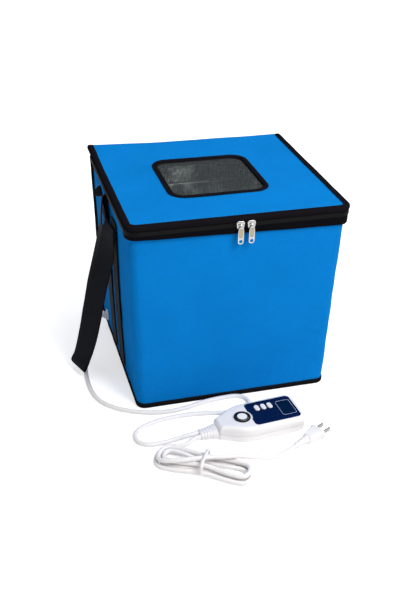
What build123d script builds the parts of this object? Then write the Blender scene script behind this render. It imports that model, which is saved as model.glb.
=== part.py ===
from build123d import *
import math
import os

# Folding dough proofer: a soft insulated box with a window in its zipped lid, a heating mat
# inside, a hand controller on a lead, and a mains cord tied in a hank. Millimetres, +Z up.
# X runs along the front, Y goes to the back, and the origin is the middle of the box's underside.

# ---- the box ----
body_top_w = 312.0
body_bottom_w = 292.0
body_depth = 298.0
wall_h = 287.4
corner_r = 12.0
fabric_t = 1.2
foam_t = 8.0
liner_t = 0.6
tiny_gap = 0.2

# ---- base ----
board_t = 2.5
base_foam_t = 6.0
mat_w = 250.0
mat_d = 240.0
mat_t = 2.0
mat_r = 10.0
binding_t = 1.2
base_binding_h = 9.0
base_binding_lift = 0.5
corner_binding_w = 12.0
corner_binding_t = 3.0

# ---- lid ----
lid_gap = 1.8
hinge_axis_out = 0.4
hinge_axis_drop = 0.4
hinge_strip_in = 0.4
hinge_strip_t = 0.6
lid_t = 8.8
lid_fabric_out = 2.0
window_w = 136.0
window_d = 130.0
window_x = -4.0
window_y = -1.0
window_r = 17.0
window_binding_w = 8.0
window_margin = 8.0
film_t = 0.8
lid_binding_top_w = 10.0
lid_binding_side_h = 5.5

# ---- zip ----
tape_t = 0.8
tape_out = 3.2
tape_band_h = 18.0
hem_h = 6.0
teeth_t = 2.6
teeth_h = 3.2
teeth_gap = 1.6
chain_drop = 0.1
side_zip_end = 24.0
slider_w = 12.4
slider_h = 12.0
slider_plate_t = 1.2
slider_back_t = 0.8
slider_web_t = 1.0
slider_clear = 0.3
slider_left_x = -3.5
slider_right_x = 12.0
pull_w = 8.4
pull_len = 28.0
pull_t = 1.6
pull_ring_r = 4.2
pull_hole_r = 2.4
pin_r = 0.9
pin_rise = 1.0
pin_clear = 0.1
eye_r = 2.0
eye_len = 4.6

# ---- carry handles ----
webbing_w = 38.0
webbing_t = 1.8
strip_w = 38.0
strip_bottom_z = 16.0
strip_top_z = 262.0
strip_front_y = -45.0
strip_back_y = 16.0
strip_clear = 0.05
handle_top_z = 258.0
handle_bottom_z = 16.0
handle_clear = 0.3
handle_left_reach = 216.0
handle_right_reach = 188.0
handle_turn_deg = -35.0
handle_front_y = -44.0
handle_back_y = 22.0
handle_fold_y = -34.0
handle_fold_r = 5.0

# ---- controller ----
ctl_x = 12.0
ctl_y = -230.0
ctl_turn_deg = 5.0
ctl_len = 129.0
ctl_w = 64.0
ctl_neck_w = 30.0
ctl_taper_len = 46.0
ctl_h = 25.0
ctl_split_z = 12.0
ctl_wall = 2.0
ctl_top_t = 2.4
ctl_r = 12.0
panel_t = 1.0
panel_sink = 0.8
panel_left_x = -14.0
panel_right_x = 57.0
panel_half_d = 25.0
panel_r = 6.0
power_x = -26.0
power_y = -1.5
power_r = 9.0
ring_w = 3.0
power_notch = 3.0
key_xs = (2.0, 12.0, 22.0)
key_w = 7.0
key_d = 12.0
key_y = 11.0
key_clear = 0.3
key_lift = 1.4
key_flange = 0.8
key_flange_t = 0.5
key_flange_clear = 0.1
key_edge = 0.5
key_corner_ease = 0.01
switch_inset = 2.0
display_r = 1.5
lens_seat = 1.5
board_clear = 1.0
relay_x = (-20.0, 10.0)
relay_y = (-16.0, 4.0)
relay_h = 11.0
screw_slot_w = 0.6
post_w = 1.2
display_x = 43.0
display_y = 0.0
display_w = 18.0
display_d = 29.0
pcb_t = 1.6
pcb_drop = 1.6
switch_gap = 0.7
post_r = 3.0
post_xs = (-8.0, 52.0)
post_y = 23.0
screw_r = 1.4
screw_head_r = 2.6
screw_head_t = 1.4
relief_len = 25.0
relief_z = 9.0
relief_w = (24.0, 18.0)
relief_t = (15.0, 10.0)
relief_ribs = 8
rib_proud = 1.0
relief_edge_r = 3.0

# ---- cords ----
lead_d = 6.8
mains_d = 6.6
lead_port_y = 4.2
mains_port_y = -4.4
exit_y = 88.0
exit_z = 24.0
grommet_r = 9.0
grommet_flange_t = 2.0
grommet_nose_r = 6.0
grommet_nose_len = 6.0
grommet_clear = 0.4
exit_run = 14.0

hank_x = -86.0
hank_y = -298.0
hank_turn_deg = -32.0
hank_waist = 3.7
hank_shoulder = 9.0
hank_shoulder_x = 37.0
hank_end = 7.5
hank_half_len = 56.0
hank_step = 7.3
hank_layer = 7.1
hank_waist_lift = 2.2
hank_in = (-46.0, 30.0)
hank_over = ((-37.0, -18.0), (-6.0, -3.0), (20.0, 7.0), (42.0, 19.0))
hank_out = (58.0, 27.5)
hank_out_z = 13.0
mains_run = 10.0
plug_run = 11.0
hank_turns = 2
tie_w = 5.0
tie_t = 1.2
tie_side_clear = 1.9
tie_top_clear = 0.4
tie_lift = 0.15

plug_x = 89.5
plug_y = -270.0
plug_turn_deg = 27.5
plug_len = 26.0
plug_w = 25.0
plug_t = 16.0
plug_r = 4.0
blade_gap = 12.7
blade_len = 17.0
blade_h = 6.3
blade_t = 1.5
plug_relief_len = 22.0
plug_relief_r = (6.0, 4.2)
plug_relief_ribs = 6

# ---- sizes worked out from the ones above ----
lid_bottom_z = wall_h + lid_gap
lid_top_z = lid_bottom_z + lid_t
foam_in = fabric_t + foam_t
liner_in = foam_in + liner_t
chain_mid_z = wall_h + teeth_gap / 2 - chain_drop
lower_teeth_z = chain_mid_z - teeth_gap / 2 - teeth_h
upper_teeth_z = chain_mid_z + teeth_gap / 2
tape_band_z = lower_teeth_z + teeth_h / 2 - tape_band_h
teeth_in = tape_out + tape_t / 2 - teeth_t / 2
teeth_out = teeth_in + teeth_t
cover_out = tape_out + tape_t + binding_t
slider_front = cover_out + slider_clear
pin_out = slider_front + slider_plate_t + eye_r + slider_clear
pin_z = chain_mid_z + pin_rise
hinge_y = body_depth / 2 + lid_fabric_out + hinge_axis_out
hinge_z = lid_bottom_z - hinge_axis_drop
base_top_z = fabric_t + board_t + base_foam_t + liner_t
lead_r = lead_d / 2
mains_r = mains_d / 2
pcb_z = ctl_h - ctl_top_t - pcb_drop - pcb_t


def save(node, shape):
    """Write one sub-part to its own file."""
    export_step(shape, f"parts/{node}.step")


def wall_width(z):
    """Width of the tapered body at a height."""
    return body_bottom_w + (body_top_w - body_bottom_w) * z / wall_h


def block(x0, x1, y0, y1, z0, z1):
    """A box from its lowest and highest corners."""
    middle = ((x0 + x1) / 2, (y0 + y1) / 2, (z0 + z1) / 2)
    return Pos(*middle) * Box(x1 - x0, y1 - y0, z1 - z0)


def tapered(offset, z0, z1):
    """The solid inside the body's outline, grown by an offset, between two heights."""
    low = RectangleRounded(wall_width(z0) + 2 * offset, body_depth + 2 * offset, corner_r + offset)
    high = RectangleRounded(wall_width(z1) + 2 * offset, body_depth + 2 * offset, corner_r + offset)
    return loft([Pos(0, 0, z0) * low, Pos(0, 0, z1) * high], ruled=True)


def shell(outer, inner, z0, z1):
    """A tapered wall between two offsets of the body's outline."""
    return tapered(outer, z0, z1) - tapered(inner, z0, z1)


def prism(offset, z0, z1):
    """An upright solid on the top outline grown by an offset."""
    outline = RectangleRounded(body_top_w + 2 * offset, body_depth + 2 * offset, corner_r + offset)
    return extrude(Pos(0, 0, z0) * outline, z1 - z0)


def ring(outer, inner, z0, z1):
    """An upright ring between two offsets of the top outline."""
    return prism(outer, z0, z1) - prism(inner, z0, z1)


def window(grow, z0, z1):
    """The window's outline grown on every side, as a solid between two heights."""
    outline = RectangleRounded(window_w + 2 * grow, window_d + 2 * grow, window_r + grow)
    return extrude(Pos(window_x, window_y, z0) * outline, z1 - z0)


def behind(y, reach=400.0):
    """Everything behind a plane across the box."""
    return block(-reach, reach, y, y + reach, -reach, reach)


# ---- box ----

def make_base():
    """Bottom fabric, stiff board, base foam, its foil, the heating mat and the black binding."""
    outline = RectangleRounded(body_bottom_w, body_depth, corner_r)
    save("base_fabric", extrude(outline, fabric_t))
    inset = liner_in + tiny_gap
    inner = RectangleRounded(body_bottom_w - 2 * inset, body_depth - 2 * inset, corner_r - inset)
    layers = (("base_board", board_t), ("base_foam", base_foam_t), ("base_liner", liner_t))
    z = fabric_t
    for node, thick in layers:
        save(node, extrude(Pos(0, 0, z) * inner, thick))
        z += thick
    mat = RectangleRounded(mat_w, mat_d, mat_r)
    save("heating_mat", extrude(Pos(0, 0, base_top_z) * mat, mat_t))
    save("base_binding", shell(binding_t, 0, base_binding_lift, base_binding_h))


def make_walls():
    """Outer fabric in two sewn panels, four foam slabs, the foil liner and the corner bindings."""
    skin = shell(0, -fabric_t, fabric_t, wall_h)
    seam_y = body_depth / 2 - corner_binding_w
    save("wall_fabric", skin - behind(seam_y))
    save("back_fabric", skin & behind(seam_y))
    foam = shell(-fabric_t, -foam_in, fabric_t, wall_h)
    edge = body_depth / 2 - foam_in
    side = body_top_w
    save("foam_back", foam & behind(edge))
    save("foam_front", foam & block(-side, side, -side, -edge, 0, wall_h))
    save("foam_left", foam & block(-side, 0, -edge, edge, 0, wall_h))
    save("foam_right", foam & block(0, side, -edge, edge, 0, wall_h))
    save("wall_liner", shell(-foam_in, -liner_in, fabric_t, wall_h))
    strips = shell(corner_binding_t, 0, base_binding_h, tape_band_z - tiny_gap) & behind(seam_y)
    middle = block(-body_bottom_w / 2 + 2 * corner_binding_w, body_bottom_w / 2 - 2 * corner_binding_w,
                   0, body_depth, 0, wall_h)
    save("corner_bindings", strips - middle)


# ---- lid and zip ----

def make_lid():
    """Lid fabric, foam, foil, clear window, its binding and the bound edge."""
    cap = prism(lid_fabric_out, lid_bottom_z, lid_top_z)
    hollow = prism(lid_fabric_out - fabric_t, lid_bottom_z, lid_top_z - fabric_t)
    save("lid_fabric", cap - hollow - window(2.0, lid_top_z - fabric_t, lid_top_z))
    foam_edge = lid_fabric_out - fabric_t
    hole = window(window_margin, lid_bottom_z, lid_top_z)
    under = lid_bottom_z + liner_t
    save("lid_foam", prism(foam_edge, under, lid_top_z - fabric_t) - hole)
    save("lid_liner", prism(foam_edge, lid_bottom_z, under) - hole)
    film_top = lid_top_z - fabric_t
    save("window_film", window(window_margin - tiny_gap, film_top - film_t, film_top))
    lip = window(2.0, film_top, lid_top_z) - window(0, film_top, lid_top_z)
    top = lid_top_z + binding_t
    flat = window(window_binding_w, lid_top_z, top) - window(0, lid_top_z, top)
    save("window_binding", lip + flat)
    out = cover_out
    edge = ring(out, out - binding_t, lid_top_z - lid_binding_side_h, lid_top_z)
    border = ring(out, out - lid_binding_top_w, lid_top_z, top)
    save("lid_binding", (edge + border) - behind(body_depth / 2))


def chain(z):
    """One coil of zip teeth round the front and both sides."""
    return ring(teeth_out, teeth_in, z, z + teeth_h) - behind(body_depth / 2 - side_zip_end)


def make_zip():
    """Both tapes with their teeth: the lower on the rim, the upper on the lid."""
    zip_end = behind(body_depth / 2 - side_zip_end)
    back_top = behind(body_depth / 2 - corner_r)
    band = ring(tape_out + tape_t, tape_out, tape_band_z, lower_teeth_z) - back_top
    hem = ring(tape_out, tiny_gap, tape_band_z, tape_band_z + hem_h)
    save("rim_tape", band + hem)
    strip_w_half = body_top_w / 2 - corner_r
    hinge_top = hinge_z - tiny_gap
    low_y = hinge_y - hinge_strip_in
    save("hinge_strip", block(-strip_w_half, strip_w_half, low_y, low_y + hinge_strip_t,
                              tape_band_z + hem_h, hinge_top))
    save("lower_teeth", chain(lower_teeth_z))
    hem_low = upper_teeth_z + teeth_h + tiny_gap
    upper = ring(tape_out + tape_t, tape_out, upper_teeth_z + teeth_h, lid_top_z)
    upper_hem = ring(tape_out, lid_fabric_out, hem_low, lid_top_z)
    save("upper_tape", (upper + upper_hem) - zip_end)
    save("upper_teeth", chain(upper_teeth_z))


def make_slider(node, x):
    """A zip slider: front plate, back plate, the thin web between them and the pull's pin."""
    front_y = -body_depth / 2 - slider_front
    z0 = chain_mid_z - slider_h / 2
    plate = block(x - slider_w / 2, x + slider_w / 2, front_y - slider_plate_t, front_y,
                  z0, z0 + slider_h)
    plate = fillet(plate.edges().filter_by(Axis.Y), slider_w / 5)
    back_y = -body_depth / 2 - teeth_in + slider_clear
    web_z = slider_web_t / 2
    back = block(x - slider_w / 2, x + slider_w / 2, back_y, back_y + slider_back_t,
                 z0, chain_mid_z + web_z)
    web = block(x - slider_w / 2, x + slider_w / 2, front_y, back_y,
                chain_mid_z - web_z, chain_mid_z + web_z)
    pin_y = -body_depth / 2 - pin_out
    half = eye_len / 2 + slider_clear
    pin = Pos(x, pin_y, pin_z) * Rot(0, 90, 0) * Cylinder(pin_r, 2 * half + post_w)
    posts = []
    for side in (-1, 1):
        px = x + side * (half + post_w / 2)
        posts.append(block(px - post_w / 2, px + post_w / 2, pin_y - pin_r, front_y,
                           pin_z - pin_r, pin_z + pin_r))
    save(node, plate + back + web + pin + posts)


def make_pull(node, x):
    """A pull tab: an eye round the slider's pin, a flat plate and a ring end."""
    pin_y = -body_depth / 2 - pin_out
    eye = Pos(x, pin_y, pin_z) * Rot(0, 90, 0) * Cylinder(eye_r, eye_len)
    tip_z = pin_z - pull_len + pull_ring_r
    plate = block(x - pull_w / 2, x + pull_w / 2, pin_y - pull_t / 2, pin_y + pull_t / 2,
                  tip_z, pin_z - eye_r - slider_clear)
    neck = block(x - eye_len / 2, x + eye_len / 2, pin_y - pull_t / 2, pin_y + pull_t / 2,
                 pin_z - eye_r - slider_clear, pin_z)
    end = Pos(x, pin_y, tip_z) * Rot(90, 0, 0) * Cylinder(pull_ring_r, pull_t)
    eyelet = Pos(x, pin_y, tip_z) * Rot(90, 0, 0) * Cylinder(pull_hole_r, 2 * pull_t)
    bore = Pos(x, pin_y, pin_z) * Rot(0, 90, 0) * Cylinder(pin_r + pin_clear, 2 * eye_len)
    save(node, eye + plate + neck + end - eyelet - bore)


# ---- carry handles ----

def make_side(side, name, fold_x):
    """The two sewn webbing strips of one side and the carry loop that hangs from them."""
    strips = []
    slope = math.degrees(math.atan((body_top_w - body_bottom_w) / 2 / wall_h))
    mid_z = (strip_bottom_z + strip_top_z) / 2
    out = wall_width(mid_z) / 2 + webbing_t / 2 + strip_clear
    for y in (strip_front_y, strip_back_y):
        strip = Box(webbing_t, strip_w, strip_top_z - strip_bottom_z)
        strips.append(Pos(side * out, y, mid_z) * Rot(0, side * slope, 0) * strip)
    save(f"webbing_{name}", Compound(strips))

    turn = math.radians(handle_turn_deg)
    reach = webbing_w / 2 * abs(math.sin(turn)) + webbing_t / 2 * math.cos(turn)
    top_x = wall_width(handle_top_z) / 2 + strip_clear + webbing_t + handle_clear + reach
    fold = Vector(fold_x, handle_fold_y, handle_bottom_z)
    across = Vector(math.sin(turn), -math.cos(turn), 0)
    legs = []
    for y, shift in ((handle_front_y, handle_fold_r), (handle_back_y, -handle_fold_r)):
        start = Vector(top_x, y, handle_top_z)
        end = fold + Vector(math.cos(turn), math.sin(turn), 0) * shift
        run = end - start
        normal = across.cross(run).normalized()
        level = run.cross(normal).normalized()
        plane = Plane(origin=start, x_dir=level, z_dir=run)
        leg = extrude(plane * Rectangle(webbing_w, webbing_t), run.length)
        legs.append(leg)
    bend_plane = Plane(origin=fold, x_dir=(math.cos(turn), math.sin(turn), 0), z_dir=across)
    bend = extrude(bend_plane * Circle(handle_fold_r + webbing_t / 2), webbing_w / 2, both=True)
    loop = legs[0] + legs[1] + bend
    if side < 0:
        loop = mirror(loop, about=Plane.YZ)
    save(f"handle_{name}", loop)


# ---- controller ----

def controller_outline(inset):
    """Plan of the controller: a rounded oblong drawn in to a neck at the cord end."""
    half = ctl_len / 2 - inset
    wide = ctl_w / 2 - inset
    neck = ctl_neck_w / 2 - inset
    start = -ctl_len / 2 + ctl_taper_len
    points = [(-half, -neck), (start, -wide), (half, -wide), (half, wide), (start, wide), (-half, neck)]
    face = make_face(Polyline(*points, close=True))
    return fillet(face.vertices(), ctl_r - inset)


def placed(shape):
    """Put a controller piece, made about its own centre, where it lies."""
    return Pos(ctl_x, ctl_y, 0) * Rot(0, 0, ctl_turn_deg) * shape


def upright(face, z0, z1):
    """Raise a flat outline between two heights."""
    return extrude(Pos(0, 0, z0) * face, z1 - z0)


def key_face(x, grow):
    """Outline of one oval key."""
    radius = key_w / 2 + grow - key_corner_ease
    return Pos(x, key_y) * RectangleRounded(key_w + 2 * grow, key_d + 2 * grow, radius)


def power_face(grow):
    """Outline of the round power button."""
    return Pos(power_x, power_y) * Circle(power_r + grow)


def display_face(grow):
    """Outline of the display window."""
    return Pos(display_x, display_y) * RectangleRounded(display_w + 2 * grow, display_d + 2 * grow, display_r)


def panel_face(grow):
    """The dark panel: an oblong with an arc cut in it round the power button."""
    width = panel_right_x - panel_left_x
    face = Pos((panel_left_x + panel_right_x) / 2, 0) * Rectangle(width, 2 * panel_half_d)
    face = fillet(face.vertices(), panel_r)
    bite = power_face(ring_w + power_notch)
    return offset(face - bite, amount=grow) if grow else face - bite


def make_controller():
    """Base shell, cover, panel, display, power ring, board, screws and keys."""
    outer = controller_outline(0)
    inner = controller_outline(ctl_wall)
    posts = []
    for x in post_xs:
        for y in (-post_y, post_y):
            posts.append(Pos(x, y) * Circle(post_r))
    base = upright(outer, 0, ctl_split_z) - upright(inner, ctl_wall, ctl_split_z)
    base = fillet(base.faces().sort_by(Axis.Z)[0].outer_wire().edges(), ctl_wall / 2)
    for post in posts:
        base += upright(post, ctl_wall, ctl_split_z)
    cover = upright(outer, ctl_split_z, ctl_h) - upright(inner, ctl_split_z, ctl_h - ctl_top_t)
    cover = fillet(cover.faces().sort_by(Axis.Z)[-1].outer_wire().edges(), ctl_wall)
    for post in posts:
        cover += upright(post, ctl_split_z, ctl_h - ctl_top_t)
    screws = []
    for x in post_xs:
        for y in (-post_y, post_y):
            hole = Pos(x, y) * Circle(screw_r)
            base -= upright(hole, 0, ctl_split_z)
            base -= upright(Pos(x, y) * Circle(screw_head_r), 0, screw_head_t)
            cover -= upright(hole, ctl_split_z, ctl_split_z + 2 * ctl_wall)
            screw = upright(Pos(x, y) * Circle(screw_r), 0, ctl_split_z + 2 * ctl_wall)
            screw += upright(Pos(x, y) * Circle(screw_head_r), 0, screw_head_t)
            slot = Box(2 * screw_head_r, screw_slot_w, screw_head_t)
            screws.append(placed(screw - Pos(x, y, 0) * slot))
    keys = {"power_button": power_face}
    for node, x in zip(("mode_button", "down_button", "up_button"), key_xs):
        keys[node] = lambda grow, x=x: key_face(x, grow)
    sink = ctl_h - panel_sink
    cover -= upright(panel_face(0), sink, ctl_h)
    cover -= upright(power_face(ring_w), sink, ctl_h)
    for outline in keys.values():
        cover -= upright(outline(key_clear), ctl_split_z, ctl_h)
    cover -= upright(display_face(-lens_seat), ctl_split_z, ctl_h)
    panel = upright(panel_face(0), sink, sink + panel_t)
    for node, outline in keys.items():
        if node != "power_button":
            panel -= upright(outline(key_clear), sink, sink + panel_t)
    panel -= upright(display_face(0), sink, sink + panel_t)
    save("controller_base", placed(base))
    save("controller_cover", placed(cover))
    save("control_panel", placed(panel))
    save("controller_screws", Compound(screws))
    save("display_window", placed(upright(display_face(0), sink, sink + panel_t)))
    ring_face = power_face(ring_w) - power_face(key_clear)
    save("power_ring", placed(upright(ring_face, sink, sink + 2 * panel_t)))

    board = upright(controller_outline(ctl_wall + board_clear), pcb_z, pcb_z + pcb_t)
    for post in posts:
        board -= upright(offset(post, amount=tiny_gap), pcb_z, pcb_z + pcb_t)
    flange_z = ctl_h - ctl_top_t - key_flange_clear - key_flange_t
    for node, outline in keys.items():
        key = upright(outline(0), flange_z, ctl_h + key_lift)
        key = chamfer(key.faces().sort_by(Axis.Z)[-1].edges(), key_edge)
        key += upright(outline(key_flange), flange_z, flange_z + key_flange_t)
        save(node, placed(key))
        foot = outline(-switch_inset)
        board += upright(foot, pcb_z + pcb_t, flange_z - switch_gap)
    relay = block(relay_x[0], relay_x[1], relay_y[0], relay_y[1], pcb_z - relay_h, pcb_z)
    save("circuit_board", placed(board + relay))


def make_strain_relief():
    """The wide ribbed relief at the controller's neck that holds both cords."""
    x0 = -ctl_len / 2
    sections = []
    for x, w, t in ((x0, relief_w[0], relief_t[0]), (x0 - relief_len, relief_w[1], relief_t[1])):
        plane = Plane(origin=(x, 0, relief_z), x_dir=(0, 1, 0), z_dir=(-1, 0, 0))
        sections.append(plane * RectangleRounded(w, t, relief_edge_r))
    body = loft(sections, ruled=True)
    pitch = relief_len / (relief_ribs + 1)
    for i in range(relief_ribs):
        share = (i + 0.75) / (relief_ribs + 1)
        w = relief_w[0] + (relief_w[1] - relief_w[0]) * share + 2 * rib_proud
        t = relief_t[0] + (relief_t[1] - relief_t[0]) * share + 2 * rib_proud
        plane = Plane(origin=(x0 - share * relief_len, 0, relief_z), x_dir=(0, 1, 0), z_dir=(-1, 0, 0))
        body += extrude(plane * RectangleRounded(w, t, relief_edge_r), pitch / 2)
    save("strain_relief", placed(body))


# ---- cords ----

def corner_radii(points):
    """Largest tangent arc at each corner: 0.45 of the shorter run over tan of half the turn."""
    radii = []
    for a, b, c in zip(points, points[1:], points[2:]):
        before = Vector(*b) - Vector(*a)
        after = Vector(*c) - Vector(*b)
        half = math.radians(before.get_angle(after)) / 2
        radii.append(0.45 * min(before.length, after.length) / math.tan(half))
    return radii


def tube(name, points, diameter):
    """A round cord along straight runs joined by tangent arcs."""
    radii = corner_radii(points)
    path = FilletPolyline(*points, radius=radii) if len(points) > 2 else Line(*points)
    start = Vector(*points[0])
    plane = Plane(origin=start, z_dir=Vector(*points[1]) - start)
    solid = sweep(plane * Circle(diameter / 2), path=path)
    section = math.pi * diameter ** 2 / 4
    least = min(radii) if radii else 0.0
    print(f"{name}: length {path.length:.1f}, least radius {least:.1f}, "
          f"volume over section x length {solid.volume / section / path.length:.4f}")
    return solid, path


def port(y, reach=0.0):
    """Where a cord leaves the controller's strain relief."""
    spot = placed(Pos(-ctl_len / 2 - relief_len - reach, y, relief_z))
    return tuple(spot.position)


def exit_point(reach=0.0):
    """Where the lead leaves the nose of the grommet on the left wall."""
    out = wall_width(exit_z) / 2 + grommet_clear + grommet_flange_t + grommet_nose_len + reach
    return (-out, exit_y, exit_z)


lead_route = [
    (-184, 77, 17), (-191, 54, 7), (-196, 26, lead_r), (-203, -10, lead_r),
    (-208, -50, lead_r), (-208, -90, lead_r), (-199, -122, lead_r), (-177, -145, lead_r),
    (-148, -161, lead_r), (-112, -170, lead_r), (-78, -167, lead_r), (-48, -158, lead_r),
    (-20, -155, lead_r), (5.7, -155.2, lead_r), (16.5, -166, lead_r), (16.5, -181.4, lead_r),
    (5.7, -192, lead_r), (-18, -193, lead_r), (-46, -187, lead_r), (-80, -182, lead_r),
    (-114, -184, lead_r), (-144, -191, lead_r), (-164, -205, lead_r), (-166, -224, lead_r),
    (-153, -236, lead_r), (-131, -237, lead_r), (-110, -234.5, 5.0),
]
plug_route = [(10, -304.5, 3.6), (24, -301, 4.8)]


def make_lead():
    """The lead from the grommet round the floor to the controller."""
    ends = [port(lead_port_y, exit_run), port(lead_port_y)]
    points = [exit_point(), exit_point(exit_run)] + lead_route + ends
    solid, path = tube("lead_cord", points, lead_d)
    save("lead_cord", solid)
    x = wall_width(exit_z) / 2 + grommet_clear
    flange = Pos(-x - grommet_flange_t / 2, exit_y, exit_z) * Rot(0, 90, 0)
    nose_x = -x - grommet_flange_t - grommet_nose_len / 2
    nose = Pos(nose_x, exit_y, exit_z) * Rot(0, 90, 0) * Cylinder(grommet_nose_r, grommet_nose_len)
    save("lead_grommet", flange * Cylinder(grommet_r, grommet_flange_t) + nose)


def hank_spot(u, v, z):
    """A place in the hank's own lengthwise and crosswise directions, on the floor."""
    turn = math.radians(hank_turn_deg)
    x = hank_x + u * math.cos(turn) - v * math.sin(turn)
    y = hank_y + u * math.sin(turn) + v * math.cos(turn)
    return (x, y, z)


def hank_corner(k, spread, z):
    """Corner k of a turn: left end, front shoulders and waist, right end, back ones."""
    waist = hank_waist + spread
    shoulder = hank_shoulder + spread
    end = hank_end + spread
    reach = hank_half_len + spread
    corners = (
        (-hank_shoulder_x, shoulder), (-reach, end), (-reach, -end), (-hank_shoulder_x, -shoulder),
        (0, -waist), (hank_shoulder_x, -shoulder), (reach, -end), (reach, end),
        (hank_shoulder_x, shoulder), (0, waist),
    )
    u, v = corners[k % 10]
    lift = hank_waist_lift if u == 0 else 0.0
    return hank_spot(u, v, z + lift)


def hank_points():
    """Two turns spiralling in on the floor, two spiralling out on top, and the end laid across."""
    count = 10 * hank_turns
    points = [hank_spot(*hank_in, mains_r)]
    for k in range(1, count):
        points.append(hank_corner(k, hank_step * (count - 1 - k) / 10, mains_r))
    for k in range(count, 2 * count - 7):
        points.append(hank_corner(k, hank_step * (k + 1 - count) / 10, mains_r + hank_layer))
    top = mains_r + 2 * hank_layer
    for (u, v), lift in zip(hank_over, (0.0, hank_waist_lift, hank_waist_lift, 0.0)):
        points.append(hank_spot(u, v, top + lift))
    points.append(hank_spot(*hank_out, hank_out_z))
    return points


def self_gap(path, length, diameter):
    """Least gap between stretches of a wound cord, measured on points along its line."""
    count = int(length / 3.0)
    spots = [path.position_at(i / count) for i in range(count + 1)]
    apart = int(3.2 * diameter / 3.0)
    least = length
    for i, a in enumerate(spots):
        for b in spots[i + apart:]:
            least = min(least, (a - b).length)
    return least - diameter


def make_mains():
    """The mains cord: a short start, the tied hank, and the stretch to the plug."""
    hank = hank_points()
    start = Vector(*hank[0])
    inward = (Vector(*hank[1]) - start).normalized()
    end = Vector(*hank[-1])
    outward = (end - Vector(*hank[-2])).normalized()
    solid, path = tube("cord_hank", hank, mains_d)
    print(f"cord_hank: least gap to itself {self_gap(path, path.length, mains_d):.2f}")
    save("cord_hank", solid)
    before = start - inward * mains_run
    solid, path = tube("mains_cord", [port(mains_port_y), port(mains_port_y, mains_run), tuple(before),
                                      tuple(start)], mains_d)
    save("mains_cord", solid)
    after = end + outward * exit_run
    plug = plug_spot(-plug_len - plug_relief_len)
    ahead = plug_spot(-plug_len - plug_relief_len - plug_run)
    solid, path = tube("plug_cord", [tuple(end), tuple(after)] + plug_route + [ahead, plug], mains_d)
    save("plug_cord", solid)
    width = 2 * (hank_waist + mains_r) + hank_step * (hank_turns + 0.5)
    shift = -hank_step / 4
    top_z = mains_d + 2 * hank_layer + hank_waist_lift + tie_top_clear
    turn = math.radians(hank_turn_deg)
    middle = hank_spot(0, shift, (tie_lift + tie_t + top_z) / 2)
    plane = Plane(origin=middle, x_dir=(-math.sin(turn), math.cos(turn), 0),
                  z_dir=(math.cos(turn), math.sin(turn), 0))
    inner_w = width + 2 * tie_side_clear
    inner_h = top_z - tie_lift - tie_t
    loop = plane * RectangleRounded(inner_w + 2 * tie_t, inner_h + 2 * tie_t, mains_r + tie_t)
    loop -= plane * RectangleRounded(inner_w, inner_h, mains_r)
    save("cord_tie", extrude(loop, tie_w / 2, both=True))


def plug_spot(x, y=0.0, z=None):
    """A place along the plug's own length, measured from its face."""
    turn = math.radians(plug_turn_deg)
    height = plug_t / 2 if z is None else z
    return (plug_x + x * math.cos(turn) - y * math.sin(turn),
            plug_y + x * math.sin(turn) + y * math.cos(turn), height)


def make_plug():
    """Plug body, its ribbed relief and the two blades."""
    turn = Rot(0, 0, plug_turn_deg)
    body = Box(plug_len, plug_w, plug_t)
    body = fillet(body.edges().filter_by(Axis.Z), plug_r)
    save("plug_body", Pos(*plug_spot(-plug_len / 2)) * turn * body)
    sections = []
    for x, r in ((0.0, plug_relief_r[0]), (plug_relief_len, plug_relief_r[1])):
        sections.append(Plane(origin=(-x, 0, 0), z_dir=(-1, 0, 0)) * Circle(r))
    relief = loft(sections, ruled=True)
    pitch = plug_relief_len / (plug_relief_ribs + 1)
    for i in range(plug_relief_ribs):
        share = (i + 0.75) / (plug_relief_ribs + 1)
        r = plug_relief_r[0] + (plug_relief_r[1] - plug_relief_r[0]) * share + rib_proud
        plane = Plane(origin=(-share * plug_relief_len, 0, 0), z_dir=(-1, 0, 0))
        relief += extrude(plane * Circle(r), pitch / 2)
    save("plug_relief", Pos(*plug_spot(-plug_len)) * turn * relief)
    blades = []
    for side in (-1, 1):
        blade = Box(blade_len, blade_t, blade_h)
        blades.append(Pos(*plug_spot(blade_len / 2, side * blade_gap / 2)) * turn * blade)
    save("plug_blades", Compound(blades))


os.makedirs("parts", exist_ok=True)
make_base()
make_walls()
make_lid()
make_zip()
make_slider("slider_left", slider_left_x)
make_slider("slider_right", slider_right_x)
make_pull("pull_left", slider_left_x)
make_pull("pull_right", slider_right_x)
make_side(-1, "left", handle_left_reach)
make_side(1, "right", handle_right_reach)
make_controller()
make_strain_relief()
make_lead()
make_mains()
make_plug()
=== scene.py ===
"""Looks of a folding dough proofer: padded fabric box, zipped lid with a window, carry
loops, hand controller, cords and plug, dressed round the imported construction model."""
import logging
import math
from dataclasses import dataclass, field
from enum import Enum

import bmesh
import bpy
import numpy as np
from mathutils import Matrix, Vector


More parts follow.
